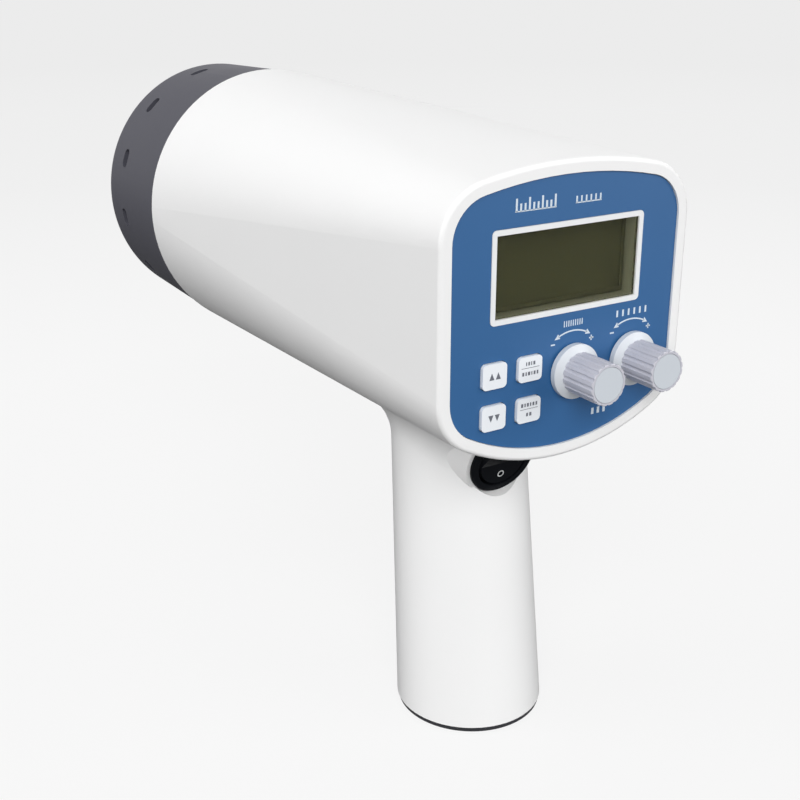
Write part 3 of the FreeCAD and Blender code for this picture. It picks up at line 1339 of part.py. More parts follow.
# ---------------------------------------------------------------- foot of the grip
def make_base_cap():
    body = new_body("base_cap", at_axis=False)
    outside = d.grip_foot_radius - d.cap_inset
    plug = d.grip_foot_radius - d.wall - d.cap_gap
    drawn = Drawing(body, "cap_sketch", "floor").circle(outside)
    pad(body, "cap_disc", drawn, d.cap_lip)
    drawn = Drawing(body, "plug_sketch", "floor", d.cap_lip).circle(plug)
    pad(body, "cap_plug_form", drawn, d.cap_plug - d.cap_lip)
    drawn = Drawing(body, "cap_hollow_sketch", "floor", d.cap_plug).circle(plug - d.cap_rim)
    pocket(body, "cap_hollow", drawn, d.cap_plug - d.cap_floor)
    for number, place in enumerate(base_screw_places, 1):
        drawn = Drawing(body, f"cap_boss_sketch_{number}", "floor", d.cap_floor)
        drawn.circle(d.screw_head + d.hole_gap, ZERO, place)
        pad(body, f"cap_boss_{number}", drawn.sketch, d.cap_plug - d.cap_floor)
        drawn = Drawing(body, f"cap_hole_sketch_{number}", "floor", ZERO)
        drawn.circle(screw_hole, ZERO, place)
        pocket(body, f"cap_hole_{number}", drawn.sketch, d.cap_plug, backwards=True)
        drawn = Drawing(body, f"cap_head_sketch_{number}", "floor", ZERO)
        drawn.circle(d.screw_head + d.hole_gap, ZERO, place)
        head_room = d.screw_head_thick + d.inlet_setback
        pocket(body, f"cap_head_{number}", drawn.sketch, head_room, backwards=True)
    half_width, half_height = d.inlet_width / 2, d.inlet_height / 2
    gap = d.slip_gap
    drawn = Drawing(body, "inlet_hole_sketch", "floor", ZERO)
    drawn.rectangle(-half_width - gap, half_width + gap, -half_height - gap, half_height + gap)
    pocket(body, "inlet_hole", drawn.sketch, d.cap_plug, backwards=True)
    wide, tall = half_width + d.inlet_flange + gap, half_height + d.inlet_flange + gap
    drawn = Drawing(body, "inlet_recess_sketch", "floor", ZERO)
    drawn.rectangle(-wide, wide, -tall, tall)
    recess = d.inlet_setback + d.inlet_flange_thick
    pocket(body, "inlet_recess", drawn.sketch, recess, backwards=True)
    keep(body)

    screws = []
    for number, place in enumerate(base_screw_places, 1):
        under_head = d.screw_head_thick + d.inlet_setback
        screws.append(screw(f"base_screw_{number}", ZERO, place, under_head, "up"))
    keep(group("base_screws", *screws))


def make_power_inlet():
    """Three-blade appliance inlet, open downwards."""
    body = new_body("power_inlet", at_axis=False)
    half_width, half_height = d.inlet_width / 2, d.inlet_height / 2
    flange_top = d.inlet_setback + d.inlet_flange_thick
    wide, tall = half_width + d.inlet_flange, half_height + d.inlet_flange
    drawn = Drawing(body, "inlet_flange_sketch", "floor", d.inlet_setback)
    drawn.rectangle(-wide, wide, -tall, tall)
    pad(body, "inlet_flange_form", drawn.sketch, d.inlet_flange_thick)
    drawn = Drawing(body, "inlet_body_sketch", "floor", flange_top)
    drawn.rectangle(-half_width, half_width, -half_height, half_height)
    pad(body, "inlet_body", drawn.sketch, d.inlet_depth)
    wide, tall = d.socket_width / 2, d.socket_height / 2
    drawn = Drawing(body, "socket_sketch", "floor", d.inlet_setback).polygon(
        (-wide, -tall),
        (wide, -tall),
        (wide, tall - d.socket_corner),
        (wide - d.socket_corner, tall),
        (d.socket_corner - wide, tall),
        (-wide, tall - d.socket_corner),
    )
    pocket(body, "socket", drawn, d.socket_depth, backwards=True)
    keep(body)

    floor = d.inlet_setback + d.socket_depth - d.blade_length
    half_thick, half_blade = d.blade_thick / 2, d.blade_width / 2
    blades = [
        block(f"blade_{name}", d.blade_thick, d.blade_width, d.blade_length,
              side - half_thick, ahead - half_blade, floor)
        for name, side, ahead in (
            ("live", -d.blade_spacing / 2, -d.blade_offset),
            ("neutral", d.blade_spacing / 2, -d.blade_offset),
            ("earth", ZERO, d.blade_offset),
        )
    ]
    keep(group("inlet_blades", *blades))


# ---------------------------------------------------------------- power board
def make_power_board():
    top = -d.power_below
    body = new_body("power_board")
    drawn = Drawing(body, "power_sketch", "floor", top)
    drawn.rectangle(-d.power_half_width, d.power_half_width,
                    d.power_start, d.power_start + d.power_length)
    pad(body, "power_sheet", drawn.sketch, d.board_thick, backwards=True)
    for number, (side, ahead) in enumerate(post_places, 1):
        hole = Drawing(body, f"power_hole_sketch_{number}", "floor", top)
        hole.circle(screw_hole, side, ahead)
        pocket(body, f"power_hole_{number}", hole.sketch, d.board_thick)
    keep(body)

    level = d.axis_height + top
    screws = [screw(f"power_screw_{number}", side, ahead, level, "down")
              for number, (side, ahead) in enumerate(post_places, 1)]
    keep(group("power_screws", *screws))

    core = block("core_outside", d.core_width, d.core_length, d.core_height,
                 -d.core_width / 2, d.core_middle - d.core_length / 2, level)
    room_height = d.core_height - d.core_leg * 2
    room_width = d.core_width - d.core_leg * 2
    room = block("core_room", room_width, d.core_length, room_height,
                 -room_width / 2, d.core_middle - d.core_length / 2, level + d.core_leg)
    keep(cut("transformer_core", core, room))
    coil_height = room_height - d.slip_gap * 2
    coil_width = room_width - d.slip_gap * 2
    keep(block("transformer_coil", coil_width, d.coil_length, coil_height, -coil_width / 2,
               d.core_middle - d.coil_length / 2, level + d.core_leg + d.slip_gap))

    cans = [rod(f"capacitor_{number}", d.capacitor_radius, d.capacitor_length, side, ahead, level)
            for number, (side, ahead) in enumerate(capacitor_places, 1)]
    keep(group("storage_capacitors", *cans))


# ---------------------------------------------------------------- build, test and write
def check(document):
    """Stops on a failed object or an empty or broken sub-part."""
    broken = [item.Label for item in document.Objects
              if "Invalid" in item.State or "Error" in item.State]
    if broken:
        raise RuntimeError(f"these objects failed: {broken}")
    for node in nodes:
        if node.Shape.isNull() or not node.Shape.isValid() or node.Shape.Volume <= 0:
            raise RuntimeError(f"{node.Label} has no good shape")
        if node.TypeId == "PartDesign::Body" and len(node.Shape.Solids) != 1:
            raise RuntimeError(f"{node.Label} is in {len(node.Shape.Solids)} pieces")


make_housing()
make_front_ring()
make_lens()
make_reflector()
make_lamp()
make_panel()
make_display()
make_keys()
make_control_board()
make_knobs()
make_power_switch()
make_rocker()
make_base_cap()
make_power_inlet()
make_power_board()
document.recompute()
check(document)
os.makedirs("parts", exist_ok=True)
for node in nodes:
    node.Shape.exportStep(f"parts/{node.Label}.step")
    print(f"{node.Label}: {len(node.Shape.Solids)} solid(s), {node.Shape.Volume / 1000:.2f} cm3")
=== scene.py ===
import json
import math

import bmesh
import bpy
from bpy.props import FloatProperty, FloatVectorProperty, PointerProperty
from mathutils import Matrix, Vector


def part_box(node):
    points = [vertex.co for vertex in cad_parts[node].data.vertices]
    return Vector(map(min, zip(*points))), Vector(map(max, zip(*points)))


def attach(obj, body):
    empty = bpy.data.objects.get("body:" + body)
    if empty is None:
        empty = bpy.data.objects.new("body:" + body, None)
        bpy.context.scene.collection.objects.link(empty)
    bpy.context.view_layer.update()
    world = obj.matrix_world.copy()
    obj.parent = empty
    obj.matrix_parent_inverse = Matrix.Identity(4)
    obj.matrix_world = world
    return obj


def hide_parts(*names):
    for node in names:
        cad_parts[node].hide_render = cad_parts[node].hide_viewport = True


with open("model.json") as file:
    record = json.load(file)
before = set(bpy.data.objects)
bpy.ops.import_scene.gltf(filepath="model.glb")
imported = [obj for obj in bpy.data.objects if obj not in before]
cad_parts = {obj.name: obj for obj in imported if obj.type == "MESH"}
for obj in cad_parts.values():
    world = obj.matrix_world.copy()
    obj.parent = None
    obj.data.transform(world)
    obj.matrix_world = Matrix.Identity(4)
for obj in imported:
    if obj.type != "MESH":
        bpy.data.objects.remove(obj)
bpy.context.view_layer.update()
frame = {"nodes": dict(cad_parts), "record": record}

bl_info = {
    "name": "Xenon Stroboscope",
    "version": (1, 0, 0),
    "blender": (4, 5, 0),
    "location": "View3D > Sidebar > Stroboscope",
    "description": "Finishes, printed marks and small parts of a hand-held xenon stroboscope",
    "category": "Object",
}


# ---------------------------------------------------------------- places read from the frame
def middle(node, axis):
    """The middle of a node's box along one axis."""
    low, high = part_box(node)
    return (low[axis] + high[axis]) / 2


X, Y, Z = 0, 1, 2
PANEL_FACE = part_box("panel_overlay")[0][Y]
KNOB_HEIGHT = middle("fine_skirt", Z)
KNOB_SIDES = {"fine": middle("fine_skirt", X), "coarse": middle("coarse_skirt", X)}
DISPLAY_SIDE = middle("display_glass", X)
DISPLAY_HEIGHT = middle("display_glass", Z)
SWITCH_PIVOT = next(Vector(joint["pos_m"]) for joint in frame["record"]["behaviour"]["joints"]
                    if joint["name"] == "power_rock")

# ---------------------------------------------------------------- small pieces and print, in metres
INK = 0.00006  # how far a printed mark stands out
INK_SOLID = INK * 1.5  # its whole thickness, a third of it sunk into what carries it
PATCH_START = 0.001  # size of a patch before its corners are put in place
MERGE_DISTANCE = 1e-6

# the two screws of the base cap
SCREW_HEAD_RADIUS = 0.0024
SCREW_HEAD_THICK = 0.0014
SCREW_HEAD_ROUND = 0.0006
SCREW_SHANK_RADIUS = 0.00125
SCREW_TIP_ROUND = 0.0004
CROSS_LENGTH = 0.0027
CROSS_WIDTH = 0.0006
CROSS_CUT = 0.0016  # height of the cutter, half of it outside the head

# print round a knob, from the knob's middle
KNOB_PRINT_SHIFT = -0.0004  # sideways, of the arrows and ticks
ARROW_HEAD = 0.00105
ARROW_HEAD_LEAD = 0.03  # radians from the arc's end to the middle of its head
SIGN_HEIGHT = 0.0083
SIGN_LINE = 0.0004
MINUS_SIDE, MINUS_WIDTH = -0.0072, 0.0014
PLUS_SIDE, PLUS_WIDTH = 0.0063, 0.0015
TICKS_HEIGHT = 0.0136
# count, pitch, width and height of the ticks over a knob
TICKS = {"fine": (9, 0.00078, 0.0003, 0.0017), "coarse": (6, 0.0021, 0.0006, 0.0019)}

# the two trains of flashes over the display, and the row under the left knob
TRAINS_HEIGHT = 0.0168  # of the left train's base line over the middle of the display
TRAIN_LINE = 0.0003
LEFT_LINE_SIDE, LEFT_LINE_WIDTH = -0.0119, 0.0134
RIGHT_LINE_SIDE, RIGHT_LINE_WIDTH = 0.0057, 0.0088
RIGHT_LINE_RISE = 0.0003
FLASHES = 10
FLASH_START = -0.0182
FLASH_PITCH = 0.0014
FLASH_WIDTH = 0.0006
FLASH_TALL = 0.0034
FLASH_SHORT = 0.002
# count, pitch, width and height as for the ticks, then the first bar's x
RIGHT_FLASHES = (6, 0.00162, 0.0005, 0.0018, 0.0016)
KNOB_ROW = (3, 0.0021, 0.0009, 0.0019, 0.0112)
RIGHT_FLASHES_RISE = 0.0012
KNOB_ROW_DROP = 0.0139

# the display's cell
CELL_MARGIN = 0.0004
CELL_THICK = 0.001
CELL_ROUND = 0.0002
CELL_EDGE = 0.0011
CELL_SINK = 0.00025

# print on a key, from the key's middle
MILLIMETRE = 0.001
KEY_ARROW_HALF = 0.0008
KEY_ARROW_FOOT = 0.0009
KEY_ARROW_POINT = 0.0010
KEY_ARROW_SIDES = (-0.0010, 0.0011)
KEY_LINE_WIDTH = 0.0060
KEY_LINE_THICK = 0.00012
KEY_LINE_HEIGHT = 0.0004
KEY_UPPER_HEIGHT = 0.0016
KEY_LOWER_HEIGHT = -0.0012
KEY_PULSE_TALL = 0.0010
KEY_PULSE_GAP = 0.00045

# the rocker of the power switch and its marks
ROCKER_SLOPE = math.radians(18)  # between the two halves of the rocker's face
ROCKER_FACE = 0.00327  # from the pivot square to either half, a hair proud
SWITCH_TILT = math.radians(16)
SWITCH_MARK_PLACE = 0.0047  # of either mark from the pivot
SWITCH_MARK_LINE = 0.00035
SWITCH_RING_RADIUS = 0.001
SWITCH_BAR_LENGTH = 0.0024


# ---------------------------------------------------------------- what a user may change
def colour(name, text, value):
    """A colour to choose."""
    return FloatVectorProperty(name=name, description=text, subtype="COLOR", size=3,
                               min=0, max=1, default=value)


def length(name, text, value):
    """A length to choose."""
    return FloatProperty(name=name, description=text, subtype="DISTANCE", unit="LENGTH",
                         min=0, default=value, precision=5)


class HousingLook(bpy.types.PropertyGroup):
    """White moulded housing and the foot of the grip."""

    white: colour("White", "Colour of the moulded housing", (0.88, 0.88, 0.88))
    frame_white: colour("Frame white", "Colour of the display frame", (0.84, 0.85, 0.86))
    foot_dark: colour("Foot", "Colour of the base cap", (0.035, 0.035, 0.04))
    gloss: FloatProperty(name="Roughness", description="Roughness of the white plastic",
                         subtype="FACTOR", min=0, max=1, default=0.42)
    texture_depth: length("Texture depth", "Height of the moulded grain", 0.000012)


class HeadLook(bpy.types.PropertyGroup):
    """Front ring, lens and lamp."""

    ring_dark: colour("Ring", "Colour of the front ring", (0.073, 0.073, 0.09))
    lens_tint: colour("Lens", "Tint of the lens", (0.97, 0.98, 1.0))
    mirror: colour("Mirror", "Colour of the reflector", (0.9, 0.91, 0.92))


class PanelLook(bpy.types.PropertyGroup):
    """Printed panel, display and keys."""

    blue: colour("Blue", "Printed blue of the overlay", (0.029, 0.118, 0.293))
    print_white: colour("Print", "White of the printed marks", (0.66, 0.74, 0.82))
    display_olive: colour("Display", "Colour of the unlit display", (0.185, 0.185, 0.13))
    window_tint: colour("Window", "Tint of the display window", (0.42, 0.42, 0.33))
    key_white: colour("Keys", "Colour of the key caps", (0.86, 0.89, 0.93))
    key_print: colour("Key print", "Colour of the marks on the keys", (0.15, 0.16, 0.19))
    arrow_radius: length("Arrow radius", "Radius of the curved arrows over the knobs", 0.0114)
    arrow_width: length("Arrow width", "Line width of the curved arrows", 0.0004)
    arrow_reach: FloatProperty(name="Arrow reach", description="Half the angle of an arrow",
                               subtype="ANGLE", unit="ROTATION", default=math.radians(26))


class ControlLook(bpy.types.PropertyGroup):
    """Knobs and power switch."""

    knob_grey: colour("Knob", "Colour of the fluted knobs", (0.56, 0.56, 0.62))
    skirt_white: colour("Skirt", "Colour of the knob skirts", (0.66, 0.69, 0.73))
    disc_grey: colour("Disc", "Colour of the discs in the knobs", (0.61, 0.65, 0.7))
    switch_black: colour("Switch", "Colour of the power switch", (0.007, 0.008, 0.01))
    switch_mark: colour("Switch marks", "Colour of the marks on the rocker", (0.7, 0.72, 0.72))


class StageLook(bpy.types.PropertyGroup):
    """Camera, floor and light."""

    lens: FloatProperty(name="Lens", description="Focal length in millimetres",
                        subtype="DISTANCE_CAMERA", unit="CAMERA", min=1, default=54.7)
    azimuth: FloatProperty(name="Azimuth", description="Turn of the view from straight behind",
                           subtype="ANGLE", unit="ROTATION", default=math.radians(32.118))
    elevation: FloatProperty(name="Elevation", description="How far the view looks down",
                             subtype="ANGLE", unit="ROTATION", default=math.radians(20.438))
    camera_place: FloatVectorProperty(name="Camera", description="Place of the camera",
                                      subtype="TRANSLATION", unit="LENGTH", size=3,
                                      default=(-0.2064, -0.2853, 0.2356))
    # backdrop, halfway and far set a painted pool of light on the floor: its emitted tone is
    # brightest near the object and fades to the far tone; backdrop is also the floor's colour under
    # the lamps near the object
    backdrop: colour("Backdrop", "Tone of the floor near the object", (0.935, 0.935, 0.935))
    halfway: colour("Halfway", "Tone of the floor between near and far", (0.873, 0.873, 0.873))
    far: colour("Far", "Tone of the far floor and the wall", (0.838, 0.838, 0.838))
    board: colour("Board", "Tone that the floor throws back as light", (0.13, 0.13, 0.13))
    key: FloatProperty(name="Key", description="Power of the softbox behind and to the left",
                       subtype="POWER", default=376.0)
    overhead: FloatProperty(name="Overhead", description="Power of the overhead softbox",
                            subtype="POWER", default=124.0)
    fill: FloatProperty(name="Fill", description="Power of the softbox to the right",
                        subtype="POWER", default=160.0)
    side: FloatProperty(name="Side", description="Power of the softbox to the left",
                        subtype="POWER", default=134.0)
    front: FloatProperty(name="Front", description="Power of the softbox ahead to the right",
                         subtype="POWER", default=52.0)
    room_light: FloatProperty(name="Room", description="Strength of the light all round",
                              min=0, default=0.06)


SENSOR_WIDTH = 36.0  # millimetres
BOWL_RADIUS = 9.0
BOWL_CURVE = 3.0
BOWL_BAND = 3.5  # flat band round the floor that the curve is made in
BOWL_NEARNESS = 0.01
FLOOR_NEAR = 0.4  # from here the floor's painted pool of light falls off, and reflections begin to show it; nearer in they show the dark board as painted shade
FLOOR_FAR = 2.4
FLOOR_HALFWAY = 0.3  # share of the way from near to far
SHOWN_NEAR = 0.9  # share of the painted, emitted tone near the object, where the rest is lit floor that takes shadows
SHADOWS_END = 0.6  # share of the way where shadows are gone
LAMPS_AIM = Vector((0, 0.05, 0.1))
# place, size, and whether glossy surfaces mirror it
SOFTBOXES = {
    "key": ((-3.2, -4.6, 3.0), 4.4, False),
    "overhead": ((-1.2, 0.4, 6.4), 6.0, True),
    "fill": ((4.4, -4.0, 2.0), 4.0, True),
    "side": ((-5.0, 2.6, 3.0), 4.0, True),
    "front": ((5.4, 2.4, 1.6), 4.0, True),
}

LOOKS = {
    "strobe_housing": HousingLook,
    "strobe_head": HeadLook,
    "strobe_panel": PanelLook,
    "strobe_controls": ControlLook,
    "strobe_stage": StageLook,
}


# ---------------------------------------------------------------- materials
MOTTLE_SCALE = 35.0
HAZE_SCALE = 60.0
SPECKLE_SCALE = 3.0


def new_material(name):
    """A new material, its nodes and its links."""
    material = bpy.data.materials.new(name)
    material.use_nodes = True
    return material, material.node_tree.nodes, material.node_tree.links


def rgba(value):
    """A colour with its alpha, from a colour or a single grey value."""
    if hasattr(value, "__len__"):
        return (*value[:3], 1.0)
    return (value, value, value, 1.0)


def shade(value, factor):
    """A colour made darker or lighter."""
    return tuple(min(1.0, part * factor) for part in value[:3])


def set_shader(material, **values):
    """Sets sockets of the shader, named with _ for each space."""
    shader = material.node_tree.nodes["Principled BSDF"]
    for socket, value in values.items():
        if hasattr(value, "__len__"):
            value = rgba(value)
        shader.inputs[socket.replace("_", " ")].default_value = value
    return shader


def object_noise(nodes, links, scale, detail=3.0):
    """Noise that is fixed to the piece."""
    place = nodes.new("ShaderNodeTexCoord")
    noise = nodes.new("ShaderNodeTexNoise")
    noise.inputs["Scale"].default_value = scale
    noise.inputs["Detail"].default_value = detail
    noise.inputs["Roughness"].default_value = 0.55
    links.new(place.outputs["Object"], noise.inputs["Vector"])
    return noise


def ramp_between(nodes, links, source, low, high):
    """Maps a 0 to 1 output to two grey values or colours."""
    ramp = nodes.new("ShaderNodeValToRGB")
    first, last = ramp.color_ramp.elements
    first.color, last.color = rgba(low), rgba(high)
    links.new(source, ramp.inputs["Fac"])
    return ramp


def set_tone(nodes, links, shader, noise, low, high):
    """Lets the colour wander between two tints with the noise."""
    tone = ramp_between(nodes, links, noise.outputs["Fac"], low, high)
    links.new(tone.outputs["Color"], shader.inputs["Base Color"])


def set_gloss(nodes, links, shader, noise, low, high):
    """Lets the roughness wander between two values with the noise."""
    gloss = ramp_between(nodes, links, noise.outputs["Fac"], low, high)
    links.new(gloss.outputs["Color"], shader.inputs["Roughness"])


def set_grain(nodes, links, shader, noise, depth):
    """Lets the surface rise and fall with the noise."""
    bump = nodes.new("ShaderNodeBump")
    bump.inputs["Distance"].default_value = depth
    links.new(noise.outputs["Fac"], bump.inputs["Height"])
    links.new(bump.outputs["Normal"], shader.inputs["Normal"])


def plastic(name, tint, roughness, grain=900.0, depth=0.00001, variation=0.03, **extra):
    """Moulded plastic: faint mottle in colour and gloss, and a fine moulded grain."""
    material, nodes, links = new_material(name)
    shader = set_shader(material, Roughness=roughness, **extra)
    mottle = object_noise(nodes, links, MOTTLE_SCALE)
    set_tone(nodes, links, shader, mottle, shade(tint, 1 - variation), shade(tint, 1 + variation))
    set_gloss(nodes, links, shader, mottle, roughness * 0.88, roughness * 1.12)
    set_grain(nodes, links, shader, object_noise(nodes, links, grain, 2.0), depth)
    return material


def metal(name, tint, roughness, stretch=(1.0, 1.0, 1.0), grain=600.0, depth=0.000004):
    """Bare metal with fine streaks along one direction."""
    material, nodes, links = new_material(name)
    shader = set_shader(material, Metallic=1.0)
    place = nodes.new("ShaderNodeTexCoord")
    mapping = nodes.new("ShaderNodeMapping")
    mapping.inputs["Scale"].default_value = stretch
    streaks = nodes.new("ShaderNodeTexNoise")
    streaks.inputs["Scale"].default_value = grain
    streaks.inputs["Detail"].default_value = 4.0
    links.new(place.outputs["Object"], mapping.inputs["Vector"])
    links.new(mapping.outputs["Vector"], streaks.inputs["Vector"])
    set_tone(nodes, links, shader, streaks, shade(tint, 0.9), shade(tint, 1.05))
    set_gloss(nodes, links, shader, streaks, roughness * 0.8, roughness * 1.25)
    set_grain(nodes, links, shader, streaks, depth)
    return material


def clear(name, tint, roughness=0.02, ior=1.49):
    """Clear plastic or glass, with a trace of unevenness in its gloss."""
    material, nodes, links = new_material(name)
    shader = set_shader(material, Base_Color=tint, IOR=ior, Transmission_Weight=1.0)
    haze = object_noise(nodes, links, HAZE_SCALE)
    set_gloss(nodes, links, shader, haze, roughness, roughness * 2.5)
    return material


def give(material, *names):
    """Puts the material on CAD nodes."""
    for name in names:
        node = frame["nodes"][name]
        node.data.materials.clear()
        node.data.materials.append(material)


# ---------------------------------------------------------------- modelling helpers
def deselect():
    """Leaves edit mode and selects nothing."""
    if bpy.context.object and bpy.context.object.mode != "OBJECT":
        bpy.ops.object.mode_set(mode="OBJECT")
    bpy.ops.object.select_all(action="DESELECT")


def finish_piece(piece, name, body, material):
    """Puts the piece's place in its mesh, names it and makes it ride on its body."""
    deselect()
    bpy.context.view_layer.objects.active = piece
    piece.select_set(True)
    bpy.ops.object.transform_apply(location=True, rotation=True, scale=True)
    piece.name = name
    piece.data.name = name
    piece.data.materials.clear()
    piece.data.materials.append(material)
    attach(piece, body)
    return piece


def join(pieces):
    """Makes one object of several."""
    deselect()
    for piece in pieces:
        piece.select_set(True)
    bpy.context.view_layer.objects.active = pieces[0]
    bpy.ops.object.join()
    return bpy.context.object


def flat_patch(corners, y):
    """A flat printed patch through three or four x, z corners, facing the user."""
    deselect()
    bpy.ops.mesh.primitive_plane_add(size=PATCH_START, location=(0, y, 0),
                                     rotation=(math.radians(90), 0, 0))
    patch = bpy.context.object
    bpy.ops.object.transform_apply(location=True, rotation=True, scale=True)
    bpy.ops.object.mode_set(mode="EDIT")
    if len(corners) == 3:
        bpy.ops.mesh.select_all(action="DESELECT")
        mesh = bmesh.from_edit_mesh(patch.data)
        mesh.verts.ensure_lookup_table()
        for vert in list(mesh.verts)[:2]:
            vert.select = True
        bmesh.update_edit_mesh(patch.data)
        bpy.ops.mesh.merge(type="CENTER")
    mesh = bmesh.from_edit_mesh(patch.data)
    around = sorted(mesh.verts, key=lambda vert: math.atan2(vert.co.z, vert.co.x))
    middle_x = sum(x for x, z in corners) / len(corners)
    middle_z = sum(z for x, z in corners) / len(corners)
    wanted = sorted(corners, key=lambda spot: math.atan2(spot[1] - middle_z, spot[0] - middle_x))
    for vert, (x, z) in zip(around, wanted):
        vert.co = Vector((x, y, z))
    bmesh.update_edit_mesh(patch.data)
    bpy.ops.object.mode_set(mode="OBJECT")
    return patch


def bar_corners(width, height, x, z):
    """The corners of an upright bar with x, z at its middle."""
    return [(x - width / 2, z - height / 2), (x + width / 2, z - height / 2),
            (x + width / 2, z + height / 2), (x - width / 2, z + height / 2)]


def flat_bar(width, height, x, z, y):
    """An upright printed bar."""
    return flat_patch(bar_corners(width, height, x, z), y)


def flat_triangle(size, x, z, turn, y):
    """A printed triangle whose point is turned clockwise from straight up."""
    corners = [(0, size), (-0.75 * size, -0.6 * size), (0.75 * size, -0.6 * size)]
    return flat_patch([(x + a * math.cos(turn) + b * math.sin(turn),
                        z - a * math.sin(turn) + b * math.cos(turn)) for a, b in corners], y)


def bar_row(count, pitch, width, height, x, z, y):
    """Upright printed bars side by side, the first at x."""
    return [flat_bar(width, height, x + number * pitch, z, y) for number in range(count)]


def flat_arc(radius, width, start, end, x, z, y, steps=24):
    """A printed arc about x, z from start to end, measured clockwise from straight up."""
    inner, outer = radius - width / 2, radius + width / 2
    step = (end - start) / steps
    near = [(x + reach * math.sin(turn), z + reach * math.cos(turn))
            for turn in (start, start + step) for reach in (inner, outer)]
    arc = flat_patch(near, y)
    bpy.ops.object.mode_set(mode="EDIT")
    bpy.ops.mesh.select_all(action="DESELECT")
    mesh = bmesh.from_edit_mesh(arc.data)
    first = Vector((x + radius * math.sin(start), y, z + radius * math.cos(start)))
    nearness = width * 0.1
    for edge in mesh.edges:
        if ((edge.verts[0].co + edge.verts[1].co) / 2 - first).length < nearness:
            edge.select = True
    kept = [edge for edge in mesh.edges if edge.select]
    ends = {vert for edge in kept for vert in edge.verts}
    bmesh.ops.delete(mesh, geom=[vert for vert in mesh.verts if vert not in ends],
                     context="VERTS")
    bmesh.update_edit_mesh(arc.data)
    bpy.ops.mesh.select_all(action="SELECT")
    bpy.ops.mesh.spin(steps=steps, angle=start - end, center=(x, y, z), axis=(0, 1, 0))
    bpy.ops.mesh.select_all(action="SELECT")
    bpy.ops.mesh.remove_doubles(threshold=MERGE_DISTANCE)
    bpy.ops.object.mode_set(mode="OBJECT")
    return arc


def printed(patches, name, body, material):
    """Joins flat patches and gives them the thickness of the ink."""
    piece = join(patches)
    bpy.ops.object.mode_set(mode="EDIT")
    bpy.ops.mesh.select_all(action="SELECT")
    bpy.ops.mesh.extrude_region_move(TRANSFORM_OT_translate={"value": (0, INK_SOLID, 0)})
    bpy.ops.mesh.select_all(action="SELECT")
    bpy.ops.mesh.normals_make_consistent(inside=False)
    bpy.ops.object.mode_set(mode="OBJECT")
    return finish_piece(piece, name, body, material)


